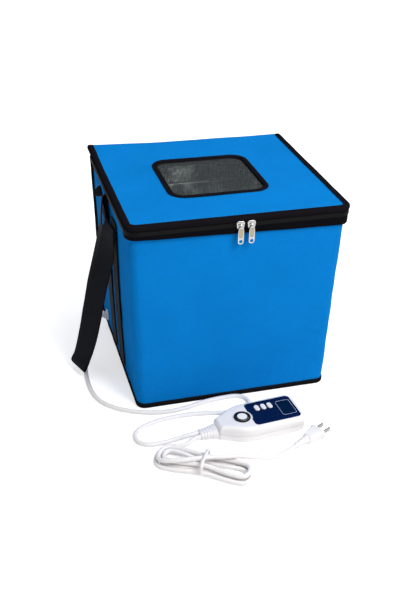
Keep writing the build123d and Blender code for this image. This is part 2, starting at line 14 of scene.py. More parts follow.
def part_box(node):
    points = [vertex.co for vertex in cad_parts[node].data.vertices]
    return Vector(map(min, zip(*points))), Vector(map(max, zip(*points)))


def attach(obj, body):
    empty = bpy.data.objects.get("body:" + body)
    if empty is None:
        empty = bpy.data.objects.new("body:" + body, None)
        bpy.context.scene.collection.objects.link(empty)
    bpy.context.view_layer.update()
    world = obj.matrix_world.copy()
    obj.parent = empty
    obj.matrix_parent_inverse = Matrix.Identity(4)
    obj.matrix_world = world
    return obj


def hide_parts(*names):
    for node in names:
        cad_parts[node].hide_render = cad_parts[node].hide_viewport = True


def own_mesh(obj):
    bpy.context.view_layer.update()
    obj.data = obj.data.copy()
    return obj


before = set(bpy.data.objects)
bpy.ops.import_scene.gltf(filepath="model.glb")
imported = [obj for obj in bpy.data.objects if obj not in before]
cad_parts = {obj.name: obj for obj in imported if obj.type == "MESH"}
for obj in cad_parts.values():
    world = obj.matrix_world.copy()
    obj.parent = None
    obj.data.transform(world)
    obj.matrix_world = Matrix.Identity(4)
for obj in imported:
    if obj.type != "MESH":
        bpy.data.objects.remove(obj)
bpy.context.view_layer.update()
LOG = logging.getLogger("proofer")

Tree = bpy.types.NodeTree
Node = bpy.types.Node
Socket = bpy.types.NodeSocket
Piece = bpy.types.Object

# where the controller lies and how it is turned, its neck on its own axis, and its relief's length
CONTROLLER = (0.012, -0.230)
CONTROLLER_TURN = math.radians(5.0)
NECK_X = -0.0645
RELIEF = 0.025


class Side(Enum):
    """Which side of the box a piece belongs to."""

    LEFT = -1
    RIGHT = 1

    @property
    def word(self) -> str:
        """The side as the CAD nodes spell it."""
        return self.name.lower()


class Run(Enum):
    """The way ribs or threads run on a strip, by its own UV axes."""

    LENGTHWISE = 0
    CROSSWISE = 1


# ---------------------------------------------------------------- shader helpers


def srgb(red: int, green: int, blue: int) -> tuple:
    """Linear colour with alpha from 0-255 display values."""
    parts = np.array([red, green, blue]) / 255.0
    low = parts / 12.92
    high = ((parts + 0.055) / 1.055) ** 2.4
    return (*np.where(parts < 0.04045, low, high).tolist(), 1.0)


def node(tree: Tree, kind: str, inputs: dict = None, **props) -> Node:
    """Add one node.

    Args:
        tree: the node tree it goes into.
        kind: Blender's node class.
        inputs: socket name or index to a value, or to an output socket to link.
        props: the node's own settings.
    Returns:
        The new node.
    """
    made = tree.nodes.new(kind)
    for key, value in props.items():
        setattr(made, key, value)
    for key, value in (inputs or {}).items():
        if isinstance(value, Socket):
            tree.links.new(value, made.inputs[key])
        else:
            made.inputs[key].default_value = value
    return made


def maths(tree: Tree, operation: str, *values) -> Socket:
    """One math node's output, from values or sockets."""
    return node(tree, "ShaderNodeMath", dict(enumerate(values)), operation=operation).outputs[0]


def product(tree: Tree, first, *others) -> Socket:
    """Several values or sockets multiplied, one after another."""
    for other in others:
        first = maths(tree, "MULTIPLY", first, other)
    return first


def noise(tree: Tree, vector: Socket, scale, detail: float = 2.0) -> Node:
    """A noise texture at a place."""
    return node(tree, "ShaderNodeTexNoise", {"Vector": vector, "Scale": scale, "Detail": detail})


def shader_group(name: str, inputs: dict, outputs: tuple, build) -> Tree:
    """Make a shader node group once and hand it back after that.

    Args:
        name: the group's name.
        inputs: input name to default; None stands for a vector.
        outputs: names of the value outputs.
        build: function of (tree, inputs node) that returns one socket per output.
    Returns:
        The node group.
    """
    if name in bpy.data.node_groups:
        return bpy.data.node_groups[name]
    tree = bpy.data.node_groups.new(name, "ShaderNodeTree")
    for key, value in inputs.items():
        kind = "NodeSocketVector" if value is None else "NodeSocketFloat"
        made = tree.interface.new_socket(key, in_out="INPUT", socket_type=kind)
        if value is not None:
            made.default_value = value
    for key in outputs:
        tree.interface.new_socket(key, in_out="OUTPUT", socket_type="NodeSocketFloat")
    start = tree.nodes.new("NodeGroupInput")
    end = tree.nodes.new("NodeGroupOutput")
    for key, socket in zip(outputs, build(tree, start)):
        tree.links.new(socket, end.inputs[key])
    return tree


def weave_group() -> Tree:
    """Plain weave: the product of two sine waves, a thread apart, roughened by fine noise."""

    def build(tree: Tree, start: Node) -> tuple:
        """Height of the weave, and a mask that darkens the gaps between the yarns: painted shade."""
        split = node(tree, "ShaderNodeSeparateXYZ", {0: start.outputs["Vector"]})
        turn = maths(tree, "DIVIDE", math.pi, start.outputs["Pitch"])
        waves = [maths(tree, "SINE", product(tree, split.outputs[i], turn)) for i in (0, 1)]
        cross = product(tree, *waves)
        gaps = product(tree, *[maths(tree, "ABSOLUTE", wave) for wave in waves])
        fuzz = noise(tree, start.outputs["Vector"], 900.0).outputs["Fac"]
        height = maths(tree, "ADD", product(tree, cross, 0.5), fuzz)
        return height, maths(tree, "POWER", gaps, 0.35)

    return shader_group("weave", {"Vector": None, "Pitch": 0.0006}, ("Height", "Threads"), build)


def rib_group() -> Tree:
    """Woven ribs: rounded ridges along one axis with a finer cross thread."""

    def build(tree: Tree, start: Node) -> tuple:
        """Height of the ribs, and a painted-shade mask that darkens the grooves between them."""
        x, y = node(tree, "ShaderNodeSeparateXYZ", {0: start.outputs["Vector"]}).outputs[:2]
        across = start.outputs["Across"]
        along = product(tree, x, maths(tree, "SUBTRACT", 1.0, across))
        ribs = maths(tree, "ADD", along, product(tree, y, across))
        turn = maths(tree, "DIVIDE", math.pi, start.outputs["Pitch"])
        ridge = maths(tree, "ABSOLUTE", maths(tree, "SINE", product(tree, ribs, turn)))
        finer = product(tree, turn, 2.3)
        thread = maths(tree, "SINE", product(tree, maths(tree, "ADD", x, y), finer))
        fuzz = noise(tree, start.outputs["Vector"], 700.0).outputs["Fac"]
        height = maths(tree, "ADD", ridge, product(tree, maths(tree, "ADD", thread, fuzz), 0.25))
        return height, maths(tree, "POWER", ridge, 0.5)

    inputs = {"Vector": None, "Pitch": 0.0012, "Across": 0.0}
    return shader_group("ribs", inputs, ("Height", "Ridges"), build)


def mottle_group() -> Tree:
    """Uneven shade: broad noise and fine noise about one, by an amount."""

    def build(tree: Tree, start: Node) -> tuple:
        """A factor near one."""
        vector, scale = start.outputs["Vector"], start.outputs["Scale"]
        broad = noise(tree, vector, scale, 4.0)
        fine = noise(tree, vector, product(tree, scale, 17.0))
        both = maths(tree, "ADD", broad.outputs["Fac"], fine.outputs["Fac"])
        swing = product(tree, maths(tree, "SUBTRACT", both, 1.0), start.outputs["Amount"])
        return (maths(tree, "ADD", swing, 1.0),)

    return shader_group("mottle", {"Vector": None, "Scale": 12.0, "Amount": 0.1}, ("Factor",), build)


def crinkle_group() -> Tree:
    """Crinkled foil: creases from cell distances at two sizes, bent by noise."""

    def build(tree: Tree, start: Node) -> tuple:
        """Height of the creases."""
        vector = start.outputs["Vector"]
        bend = noise(tree, vector, 60.0).outputs["Color"]
        pushed = node(tree, "ShaderNodeVectorMath", {0: bend, "Scale": 0.02}, operation="SCALE")
        moved = node(tree, "ShaderNodeVectorMath", {0: vector, 1: pushed.outputs[0]}, operation="ADD")
        place = moved.outputs[0]
        coarse, close = [node(tree, "ShaderNodeTexVoronoi", {"Vector": place, "Scale": scale})
                         for scale in (70.0, 210.0)]
        finer = product(tree, close.outputs["Distance"], 0.5)
        return (maths(tree, "ADD", coarse.outputs["Distance"], finer),)

    return shader_group("crinkle", {"Vector": None}, ("Height",), build)


def use(tree: Tree, group: Tree, inputs: dict) -> Node:
    """Place a node group with its own values."""
    return node(tree, "ShaderNodeGroup", inputs, node_tree=group)


def mottled(tree: Tree, place: Socket, scale: float,
            amount: float) -> Socket:
    """A factor near one that varies over the piece."""
    return use(tree, mottle_group(), {"Vector": place, "Scale": scale, "Amount": amount}).outputs["Factor"]


def new_material(name: str, **constants: float) -> tuple:
    """A material, its tree, its Principled node, and its UV and Object coordinates.

    Args:
        name: the material's name.
        constants: values for the Principled node's own sockets, underscores for spaces.
    """
    material = bpy.data.materials.new(name)
    material.use_nodes = True
    tree = material.node_tree
    principled = tree.nodes["Principled BSDF"]
    for key, value in constants.items():
        principled.inputs[key.replace("_", " ")].default_value = value
    place = tree.nodes.new("ShaderNodeTexCoord")
    return material, tree, principled, place.outputs["UV"], place.outputs["Object"]


def tint(tree: Tree, principled: Node, colour: tuple,
         factor: Socket) -> None:
    """Feed a colour made lighter or darker by a factor to the shader."""
    made = node(tree, "ShaderNodeVectorMath", {0: colour[:3], "Scale": factor}, operation="SCALE")
    tree.links.new(made.outputs[0], principled.inputs["Base Color"])


def bump(tree: Tree, principled: Node, height: Socket,
         strength: float, distance: float) -> None:
    """Feed a height to the shader's normal."""
    made = node(tree, "ShaderNodeBump", {"Height": height, "Strength": strength, "Distance": distance})
    tree.links.new(made.outputs[0], principled.inputs["Normal"])


# ---------------------------------------------------------------- finishes


@dataclass(frozen=True)
class Cloth:
    """Fine plain-woven fabric on the piece's own UV map."""

    name: str
    colour: tuple
    pitch: float = 0.00055
    roughness: float = 0.88
    depth: float = 0.0003
    mottle: float = 0.22
    gloss: float = 0.015

    def material(self) -> bpy.types.Material:
        """Relief and painted shade in the gaps from the weave group, uneven tone from the mottle group."""
        material, tree, principled, uv, place = new_material(
            self.name, Roughness=self.roughness, Specular_IOR_Level=self.gloss)
        weave = use(tree, weave_group(), {"Vector": uv, "Pitch": self.pitch})
        shade = mottled(tree, place, 16.0, self.mottle)
        # darker in the weave's gaps: painted shade
        gap_shade = maths(tree, "MULTIPLY_ADD", weave.outputs["Threads"], 0.22, 0.84)
        tint(tree, principled, self.colour, product(tree, gap_shade, shade))
        bump(tree, principled, weave.outputs["Height"], 0.5, self.depth)
        return material


@dataclass(frozen=True)
class Ribbed:
    """Grosgrain, zip tape or webbing: ribs one way and a fine thread across."""

    name: str
    colour: tuple
    pitch: float = 0.0012
    run: Run = Run.CROSSWISE
    roughness: float = 0.78
    sheen: float = 0.01
    depth: float = 0.0003
    gloss: float = 0.06

    def material(self) -> bpy.types.Material:
        """Relief and painted shade in the grooves from the rib group, uneven tone from the mottle group."""
        material, tree, principled, uv, place = new_material(
            self.name, Roughness=self.roughness, Specular_IOR_Level=self.gloss, Sheen_Weight=self.sheen)
        across = 1.0 if self.run is Run.LENGTHWISE else 0.0
        ribs = use(tree, rib_group(), {"Vector": uv, "Pitch": self.pitch, "Across": across})
        shade = mottled(tree, place, 30.0, 0.25)
        # darker in the grooves between ribs: painted shade
        ridges = maths(tree, "MULTIPLY_ADD", ribs.outputs["Ridges"], 0.5, 0.7)
        tint(tree, principled, self.colour, product(tree, ridges, shade))
        bump(tree, principled, ribs.outputs["Height"], 0.6, self.depth)
        return material


@dataclass(frozen=True)
class Moulded:
    """Moulded plastic or rubber: fine spark texture, faint scuffs in the gloss."""

    name: str
    colour: tuple
    roughness: float = 0.35
    coat: float = 0.0
    grain: float = 0.00003
    grain_scale: float = 2500.0
    scuff: float = 0.12
    gloss: float = 0.5

    def material(self) -> bpy.types.Material:
        """Gloss broken up by broad noise over a fine grain."""
        material, tree, principled, _, place = new_material(
            self.name, Specular_IOR_Level=self.gloss, Coat_Weight=self.coat)
        tint(tree, principled, self.colour, mottled(tree, place, 22.0, 0.03))
        worn = mottled(tree, place, 45.0, self.scuff * 2)
        tree.links.new(product(tree, worn, self.roughness), principled.inputs["Roughness"])
        bump(tree, principled, noise(tree, place, self.grain_scale).outputs["Fac"], 0.4, self.grain)
        return material


@dataclass(frozen=True)
class Plated:
    """Plated or coated metal with hairline wear."""

    name: str
    colour: tuple
    roughness: float = 0.2
    grain: float = 0.00002
    grain_scale: float = 900.0

    def material(self) -> bpy.types.Material:
        """Full metal, its gloss varied by noise."""
        material, tree, principled, _, place = new_material(self.name, Metallic=1.0)
        shade = mottled(tree, place, 120.0, 0.12)
        tint(tree, principled, self.colour, shade)
        tree.links.new(product(tree, shade, self.roughness), principled.inputs["Roughness"])
        bump(tree, principled, noise(tree, place, self.grain_scale).outputs["Fac"], 0.5, self.grain)
        return material


@dataclass(frozen=True)
class Foil:
    """Crinkled aluminium foil lining with a grey-green cast."""

    name: str
    colour: tuple
    roughness: float = 0.38
    depth: float = 0.003
    # strength of the painted highlight streaks
    highlight_streak_strength: float = 0.9

    def material(self) -> bpy.types.Material:
        """Metal with painted shade in its creases, painted highlight streaks running upright, and painted
        highlights on broad folds.
        """
        material, tree, principled, _, place = new_material(
            self.name, Metallic=0.6, Roughness=self.roughness)
        # strong mottle: big painted light and dark patches over the foil
        shade = mottled(tree, place, 18.0, 1.1)
        crinkle = use(tree, crinkle_group(), {"Vector": place}).outputs["Height"]
        # noise drawn out upright gives painted highlight streaks
        upright_streak_stretch = (420.0, 420.0, 60.0)
        drawn = node(tree, "ShaderNodeVectorMath", {0: place, 1: upright_streak_stretch}, operation="MULTIPLY")
        streaks = noise(tree, drawn.outputs[0], 1.0, 3.0).outputs["Fac"]
        painted_streak_highlights = maths(tree, "POWER", product(tree, streaks, 1.7), 4.0)
        # sparse broad patches: painted highlights, as on bright folds
        fold = noise(tree, place, 24.0, 4.0).outputs["Fac"]
        fold_highlights = maths(tree, "POWER", product(tree, fold, 2.02), 9.0)
        bright = maths(tree, "MULTIPLY_ADD", fold_highlights, 1.1, 0.22)
        # the crease heights also darken the colour: painted shade in the creases
        painted_streaks_and_crease_shade = maths(tree, "ADD", product(tree, painted_streak_highlights, self.highlight_streak_strength, crinkle, shade), 0.15)
        tint(tree, principled, self.colour, product(tree, painted_streaks_and_crease_shade, bright))
        bump(tree, principled, crinkle, 0.9, self.depth)
        return material


@dataclass(frozen=True)
class Film:
    """Clear vinyl: mostly see-through, with a soft gloss and slow waves."""

    name: str
    alpha: float = 0.045

    def material(self) -> bpy.types.Material:
        """See-through gloss bent by broad noise."""
        material, tree, principled, _, place = new_material(
            self.name, Alpha=self.alpha, Roughness=0.08, Specular_IOR_Level=0.4)
        principled.inputs["Base Color"].default_value = srgb(176, 190, 196)
        bump(tree, principled, noise(tree, place, 22.0).outputs["Fac"], 0.6, 0.004)
        return material


FINISHES = {
    "blue": Cloth("blue_fabric", srgb(10, 127, 209)),
    "binding": Ribbed("binding_tape", srgb(23, 21, 25), pitch=0.0011, gloss=0.0, sheen=0.0),
    "tape": Ribbed("zip_tape", srgb(14, 14, 18), pitch=0.0016, run=Run.LENGTHWISE, gloss=0.01, sheen=0.0),
    "webbing": Ribbed("webbing", srgb(20, 21, 27), pitch=0.0019, depth=0.0005),
    "thread": Ribbed("thread", srgb(40, 40, 44), pitch=0.0004),
    "coil": Moulded("zip_coil", srgb(13, 13, 15), roughness=0.55, gloss=0.15),
    "foil": Foil("foil", srgb(150, 160, 154)),
    "foil_flat": Foil("foil_flat", srgb(128, 138, 134), roughness=0.5, depth=0.0008, highlight_streak_strength=0.55),
    "foil_bright": Plated("foil_bright", srgb(196, 202, 200), roughness=0.35, grain=0.0004),
    "mat": Moulded("heating_mat", srgb(88, 92, 92), roughness=0.5, grain=0.0003, grain_scale=260.0),
    "film": Film("clear_film"),
    "nickel": Plated("nickel", srgb(176, 176, 174), roughness=0.18),
    "champagne": Plated("champagne", srgb(158, 150, 128), roughness=0.42, grain=0.0003, grain_scale=2600.0),
    "white": Moulded("white_plastic", srgb(246, 243, 242), roughness=0.3, coat=0.3),
    "keys": Moulded("key_plastic", srgb(245, 243, 242), roughness=0.34),
    "soft_white": Moulded("soft_white", srgb(243, 240, 240), roughness=0.45, grain=0.00006),
    "navy": Moulded("navy_panel", srgb(6, 13, 56), roughness=0.22, coat=0.12, grain=0.00001, scuff=0.3,
                    gloss=0.25),
    "lens": Moulded("display_lens", srgb(3, 7, 34), roughness=0.1, coat=0.2, grain=0.000005, gloss=0.3),
    "black": Moulded("black_plastic", srgb(13, 13, 15), gloss=0.3),
    "board": Moulded("circuit_board", srgb(16, 84, 44), roughness=0.4),
    "steel": Plated("screw_steel", srgb(170, 170, 172), roughness=0.35),
    "blades": Plated("blade_metal", srgb(148, 146, 140), roughness=0.28),
    "ink": Moulded("panel_ink", srgb(196, 204, 226), roughness=0.4),
}
MADE: dict = {}


def finish(name: str) -> bpy.types.Material:
    """The material of a named finish, made on first use."""
    if name not in MADE:
        MADE[name] = FINISHES[name].material()
    return MADE[name]


# ---------------------------------------------------------------- mesh helpers


def unit(vectors: np.ndarray) -> np.ndarray:
    """Rows of vectors brought to length one."""
    return vectors / np.linalg.norm(vectors, axis=1, keepdims=True)


def running(points: np.ndarray, power: float = 1.0) -> np.ndarray:
    """Running sum of the steps between points, each step's length to a power."""
    steps = np.linalg.norm(np.diff(points, axis=0), axis=1) ** power
    return np.concatenate([[0.0], np.cumsum(steps)])


def sample(where: np.ndarray, run: np.ndarray, points: np.ndarray) -> np.ndarray:
    """Points read off a line at running lengths."""
    return np.stack([np.interp(where, run, column) for column in points.T], axis=-1)


def full_turn(count: int) -> np.ndarray:
    """Angles evenly round a circle."""
    return np.linspace(0, 2 * math.pi, count, endpoint=False)


def squared(wave: np.ndarray, power: float) -> np.ndarray:
    """A sine or cosine pushed towards a square wave: power 1 leaves it as it is."""
    return np.sign(wave) * np.abs(wave) ** power


def lying(flat: np.ndarray, z) -> np.ndarray:
    """An outline in X and Y laid at a height, which may vary along it."""
    return np.column_stack([flat, np.broadcast_to(z, len(flat))])


def upright(flat: np.ndarray, y: float) -> np.ndarray:
    """An outline in X and Z stood up at a depth."""
    return np.insert(flat, 1, y, axis=1)


def turned(centre: tuple, turn: float, x, y) -> tuple:
    """X and Y of places given along and across a turned axis."""
    return (centre[0] + x * math.cos(turn) - y * math.sin(turn),
            centre[1] + x * math.sin(turn) + y * math.cos(turn))


def beyond(end: tuple, inner: tuple, reach: float) -> tuple:
    """The point a little past the end of a line, straight on from the point before it."""
    step = np.array(end) - np.array(inner)
    return tuple(np.array(end) + step / np.linalg.norm(step) * reach)


def metres_uv(grid: np.ndarray) -> np.ndarray:
    """UV in metres: mean running length along each direction of a grid of points."""
    across = np.linalg.norm(np.diff(grid, axis=1), axis=2).mean(0)
    along = np.linalg.norm(np.diff(grid, axis=0), axis=2).mean(1)
    u, v = [np.concatenate([[0.0], np.cumsum(steps)]) for steps in (across, along)]
    return np.stack(np.broadcast_arrays(u[None, :], v[:, None]), axis=-1)


def surface(name: str, grid: np.ndarray, material: str, wrap: tuple = (False, False), cap: bool = False,
            weld: bool = False, subdivide: int = 0, thickness: float = 0.0) -> Piece:
    """A smooth quad surface from a grid of points.

    Args:
        name: the piece's name.
        grid: rows x columns x 3 points, in metres.
        material: name of its finish.
        wrap: whether the rows and the columns close on themselves.
        cap: fill the open ends.
        weld: merge points that fall together, as at a pole.
        subdivide: levels of Subdivision Surface.
        thickness: wall of a sheet, grown evenly about it.
    Returns:
        The new object.
    """
    full = grid
    if wrap[0]:
        full = np.concatenate([full, full[:1]], axis=0)
    if wrap[1]:
        full = np.concatenate([full, full[:, :1]], axis=1)
    uv = metres_uv(full)
    rows, columns = grid.shape[:2]
    row_id = np.arange(full.shape[0]) % rows
    column_id = np.arange(full.shape[1]) % columns
    index = row_id[:, None] * columns + column_id[None, :]
    corners = [(slice(None, -1), slice(None, -1)), (slice(None, -1), slice(1, None)),
               (slice(1, None), slice(1, None)), (slice(1, None), slice(None, -1))]
    quads = np.stack([index[c] for c in corners], axis=-1).reshape(-1, 4)
    loops = np.stack([uv[c] for c in corners], axis=-2).reshape(-1, 2)
    mesh = bpy.data.meshes.new(name)
    mesh.from_pydata(grid.reshape(-1, 3).tolist(), [], quads.tolist())
    layer = mesh.uv_layers.new(name="metres")
    layer.data.foreach_set("uv", loops.astype(np.float32).ravel())
    made = link(name, mesh, material)
    closed = (wrap[0] and (wrap[1] or cap)) or weld
    tidy_mesh(mesh, cap, weld, closed)
    if thickness:
        solid = made.modifiers.new("thickness", "SOLIDIFY")
        solid.thickness = thickness
        solid.offset = 0.0
    if subdivide:
        add_subdivision(made, subdivide)
    return made


def link(name: str, mesh: bpy.types.Mesh, material: str) -> Piece:
    """Put a mesh in the scene, smooth and dressed."""
    mesh.polygons.foreach_set("use_smooth", np.ones(len(mesh.polygons), bool))
    mesh.materials.append(finish(material))
    made = bpy.data.objects.new(name, mesh)
    bpy.context.scene.collection.objects.link(made)
    return made


def tidy_mesh(mesh: bpy.types.Mesh, cap: bool, weld: bool, turn_out: bool) -> None:
    """Weld, cap and turn the faces of a mesh outwards."""
    work = bmesh.new()
    work.from_mesh(mesh)
    if weld:
        bmesh.ops.remove_doubles(work, verts=work.verts, dist=1e-6)
    if cap:
        bmesh.ops.holes_fill(work, edges=[e for e in work.edges if e.is_boundary])
    if turn_out:
        bmesh.ops.recalc_face_normals(work, faces=work.faces)
    work.to_mesh(mesh)
    work.free()


def add_subdivision(piece: Piece, levels: int) -> None:
    """Subdivision Surface with the same level on screen and in the render."""
    smooth = piece.modifiers.new("smooth", "SUBSURF")
    smooth.levels = levels
    smooth.render_levels = levels


def add_bevel(piece: Piece, width: float, segments: int = 3) -> None:
    """Rounded edges on a piece's sharp corners."""
    edge = piece.modifiers.new("bevel", "BEVEL")
    edge.width = width
    edge.segments = segments
    edge.limit_method = "ANGLE"


def ripple(u: np.ndarray, v: np.ndarray, size: float, seed: int, waves: int = 9) -> np.ndarray:
    """Smooth unevenness from -1 to 1: a sum of sine waves in seeded directions."""
    draw = np.random.default_rng(seed)
    total = np.zeros(np.broadcast(u, v).shape)
    for _ in range(waves):
        angle, phase = draw.uniform(0, 2 * math.pi, 2)
        length = size * draw.uniform(0.6, 1.8)
        total = total + np.sin((u * math.cos(angle) + v * math.sin(angle)) * 2 * math.pi / length + phase)
    return total / waves * 1.8


@dataclass
class Loop:
    """A rounded outline in plan: points, outward normals and running length."""

    points: np.ndarray
    normals: np.ndarray

    @property
    def run(self) -> np.ndarray:
        """Running length at each point."""
        return running(self.points)

    def at(self, offset, height) -> np.ndarray:
        """The outline moved outwards by an offset, at a height; both may vary along it."""
        shift = np.broadcast_to(offset, len(self.points))[:, None]
        return lying(self.points + self.normals * shift, height)


def arc(centre: tuple, radius: float, start: float, end: float, count: int) -> tuple:
    """Points and normals of a circular arc, angles in degrees."""
    angle = np.radians(np.linspace(start, end, count))
    normal = np.stack([np.cos(angle), np.sin(angle)], axis=-1)
    return np.array(centre) + radius * normal, normal


def straight(start: tuple, end: tuple, normal: tuple, count: int) -> tuple:
    """Points and normals of a straight side, its ends left out."""
    share = np.linspace(0, 1, count + 2)[1:-1, None]
    points = np.array(start) * (1 - share) + np.array(end) * share
    return points, np.repeat(np.array([normal], float), count, axis=0)


def joined(parts: list) -> Loop:
    """An outline from its sides and corners in order."""
    points, normals = zip(*parts)
    return Loop(np.vstack(points), np.vstack(normals))


def all_sides(width: float, depth: float, radius: float, centre: tuple = (0.0, 0.0),
              side: int = 44, corner: int = 9, rear: float = 0.0) -> Loop:
    """A closed rounded rectangle, anticlockwise from the middle of its back.

    Args:
        width: size along X.
        depth: size along Y.
        radius: radius of its corners.
        centre: its middle.
        side: points along a side.
        corner: points round a corner.
        rear: radius of the two rear corners where it differs.
    Returns:
        The outline.
    """
    rear = rear or radius
    cx, cy = centre
    left, right, front, back = cx - width / 2, cx + width / 2, cy - depth / 2, cy + depth / 2
    half = side // 2
    parts = [
        straight((cx, back), (left + rear, back), (0, 1), half),
        arc((left + rear, back - rear), rear, 90, 180, corner),
        straight((left, back - rear), (left, front + radius), (-1, 0), side),
        arc((left + radius, front + radius), radius, 180, 270, corner),
        straight((left + radius, front), (right - radius, front), (0, -1), side),
        arc((right - radius, front + radius), radius, 270, 360, corner),
        straight((right, front + radius), (right, back - rear), (1, 0), side),
        arc((right - rear, back - rear), rear, 0, 90, corner),
        straight((right - rear, back), (cx, back), (0, 1), half),
    ]
    return joined(parts)


def three_sides(width: float, depth: float, radius: float, end_y: float,
                side: int = 150, corner: int = 12) -> Loop:
    """The left, front and right sides of a rounded rectangle, from the back left to the back right."""
    x, y = width / 2 - radius, depth / 2 - radius
    parts = [
        straight((-x - radius, end_y), (-x - radius, -y), (-1, 0), side),
        arc((-x, -y), radius, 180, 270, corner),
        straight((-x, -y - radius), (x, -y - radius), (0, -1), side),
        arc((x, -y), radius, 270, 360, corner),
        straight((x + radius, -y), (x + radius, end_y), (1, 0), side),
    ]
    return joined(parts)


def band(name: str, loop: Loop, profile: list, material: str, closed: bool, pucker: float = 0.0,
         seed: int = 1, subdivide: int = 1) -> Piece:
    """A strip sewn along an outline: a closed cross-section of (offset, height) carried along it.

    Args:
        name: the piece's name.
        loop: the outline it follows.
        profile: closed list of (offset, height) in metres; a height may vary along the outline.
        material: name of its finish.
        closed: whether the outline closes on itself.
        pucker: how far the stitching pulls it in and out.
        seed: seed of the unevenness.
        subdivide: levels of smoothing.
    Returns:
        The strip.
    """
    run = loop.run
    rows = []
    for i, (offset, height) in enumerate(profile):
        wave = pucker * ripple(run, i * 0.004, 0.028, seed)
        rows.append(loop.at(offset + wave, height + 0.4 * wave))
    return surface(name, np.stack(rows), material, wrap=(True, closed), cap=not closed, subdivide=subdivide)


def stitches(name: str, path: np.ndarray, pitch: float = 0.0032, length: float = 0.0023,
             radius: float = 0.00028, material: str = "thread") -> Piece:
    """A row of sewing stitches: short six-sided spindles laid along a path."""
    run = running(path)
    centres = np.arange(pitch, run[-1] - pitch, pitch)
    start, end = [sample(s, run, path) for s in (centres - length / 2, centres + length / 2)]
    middle = (start + end) / 2
    along = unit(end - start)
    aslant = np.array([0.31, 0.17, 0.94])
    up = unit(np.cross(along, aslant))
    out = np.cross(along, up)
    angle = full_turn(6)
    ring = up[:, None, :] * np.cos(angle)[None, :, None] + out[:, None, :] * np.sin(angle)[None, :, None]
    stations = np.array([-0.5, -0.3, 0.3, 0.5]) * length
    girth = np.array([0.25, 1.0, 1.0, 0.25]) * radius
    points = (middle[:, None, None, :] + along[:, None, None, :] * stations[None, :, None, None]
              + ring[:, None, :, :] * girth[None, :, None, None])
    count = len(centres)
    base = (np.arange(count) * 24)[:, None, None, None]
    row = np.arange(3)[None, :, None, None]
    column = np.arange(6)[None, None, :, None]
    step = np.array([[0, 0], [1, 0], [1, 1], [0, 1]])
    quads = base + (row + step[:, 0]) * 6 + (column + step[:, 1]) % 6
    mesh = bpy.data.meshes.new(name)
    mesh.from_pydata(points.reshape(-1, 3).tolist(), [], quads.reshape(-1, 4).tolist())
    tidy_mesh(mesh, True, False, True)
    return link(name, mesh, material)


def ribbon(name: str, stations: list, width: float, thickness: float, material: str,
           samples: int = 140) -> Piece:
    """A flat strap through given stations.

    A smooth curve runs through the stations' centres, the strap's width direction turns evenly
    between theirs, and the section is a flat oblong with rounded edges.

    Args:
        name: the piece's name.
        stations: list of (centre, width direction), centres in metres.
        width: the strap's width.
        thickness: its thickness.
        material: name of its finish.
        samples: points along it.
    Returns:
        The strap.
    """
    centres = np.array([s[0] for s in stations], float)
    widths = np.array([s[1] for s in stations], float)
    knots = running(centres, 0.5)
    share = np.linspace(0, knots[-1], samples)
    path = catmull(centres, knots, share)
    across = sample(share, knots, widths)
    along = unit(np.gradient(path, axis=0))
    across -= along * (across * along).sum(1, keepdims=True)
    across = unit(across)
    face = np.cross(along, across)
    half, edge = width / 2, thickness / 2
    ease = half - 0.4 * edge
    upper = [(-half, 0), (-ease, edge), (-half / 2, edge), (0, edge), (half / 2, edge), (ease, edge)]
    section = np.array(upper + [(-x, -y) for x, y in upper])
    grid = path[None] + across[None] * section[:, 0, None, None] + face[None] * section[:, 1, None, None]
    return surface(name, grid, material, wrap=(True, False), cap=True, subdivide=1)


def catmull(points: np.ndarray, knots: np.ndarray, where: np.ndarray) -> np.ndarray:
    """A smooth cubic through points: Hermite pieces with slopes from the neighbours."""
    slopes = np.gradient(points, knots, axis=0)
    piece = np.clip(np.searchsorted(knots, where, side="right") - 1, 0, len(knots) - 2)
    step = knots[piece + 1] - knots[piece]
    t = ((where - knots[piece]) / step)[:, None]
    step = step[:, None]
    return ((2 * t ** 3 - 3 * t ** 2 + 1) * points[piece] + (t ** 3 - 2 * t ** 2 + t) * step * slopes[piece]
            + (3 * t ** 2 - 2 * t ** 3) * points[piece + 1] + (t ** 3 - t ** 2) * step * slopes[piece + 1])


def dress(finish_name: str, *nodes: str) -> None:
    """Give CAD nodes that stay in view a finish."""
    for name in nodes:
        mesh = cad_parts[name].data
        mesh.materials.clear()
        mesh.materials.append(finish(finish_name))


def place_piece(piece: Piece, body: str, slot: str, *nodes: str) -> Piece:
    """Ride a piece on a body, hide the nodes it stands for, and report it."""
    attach(piece, body)
    if nodes:
        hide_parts(*nodes)
    LOG.info("%s rides on %s", piece.name, body)
    return piece


def sink(piece: Piece) -> None:
    """Apply a piece's modifiers and give it a mesh of its own."""
    settle(piece)
    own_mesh(piece)


def settle(piece: Piece) -> None:
    """Apply a piece's modifiers to its mesh."""
    graph = bpy.context.evaluated_depsgraph_get()
    mesh = bpy.data.meshes.new_from_object(piece.evaluated_get(graph), depsgraph=graph)
    piece.modifiers.clear()
    piece.data = mesh


# ---------------------------------------------------------------- soft box


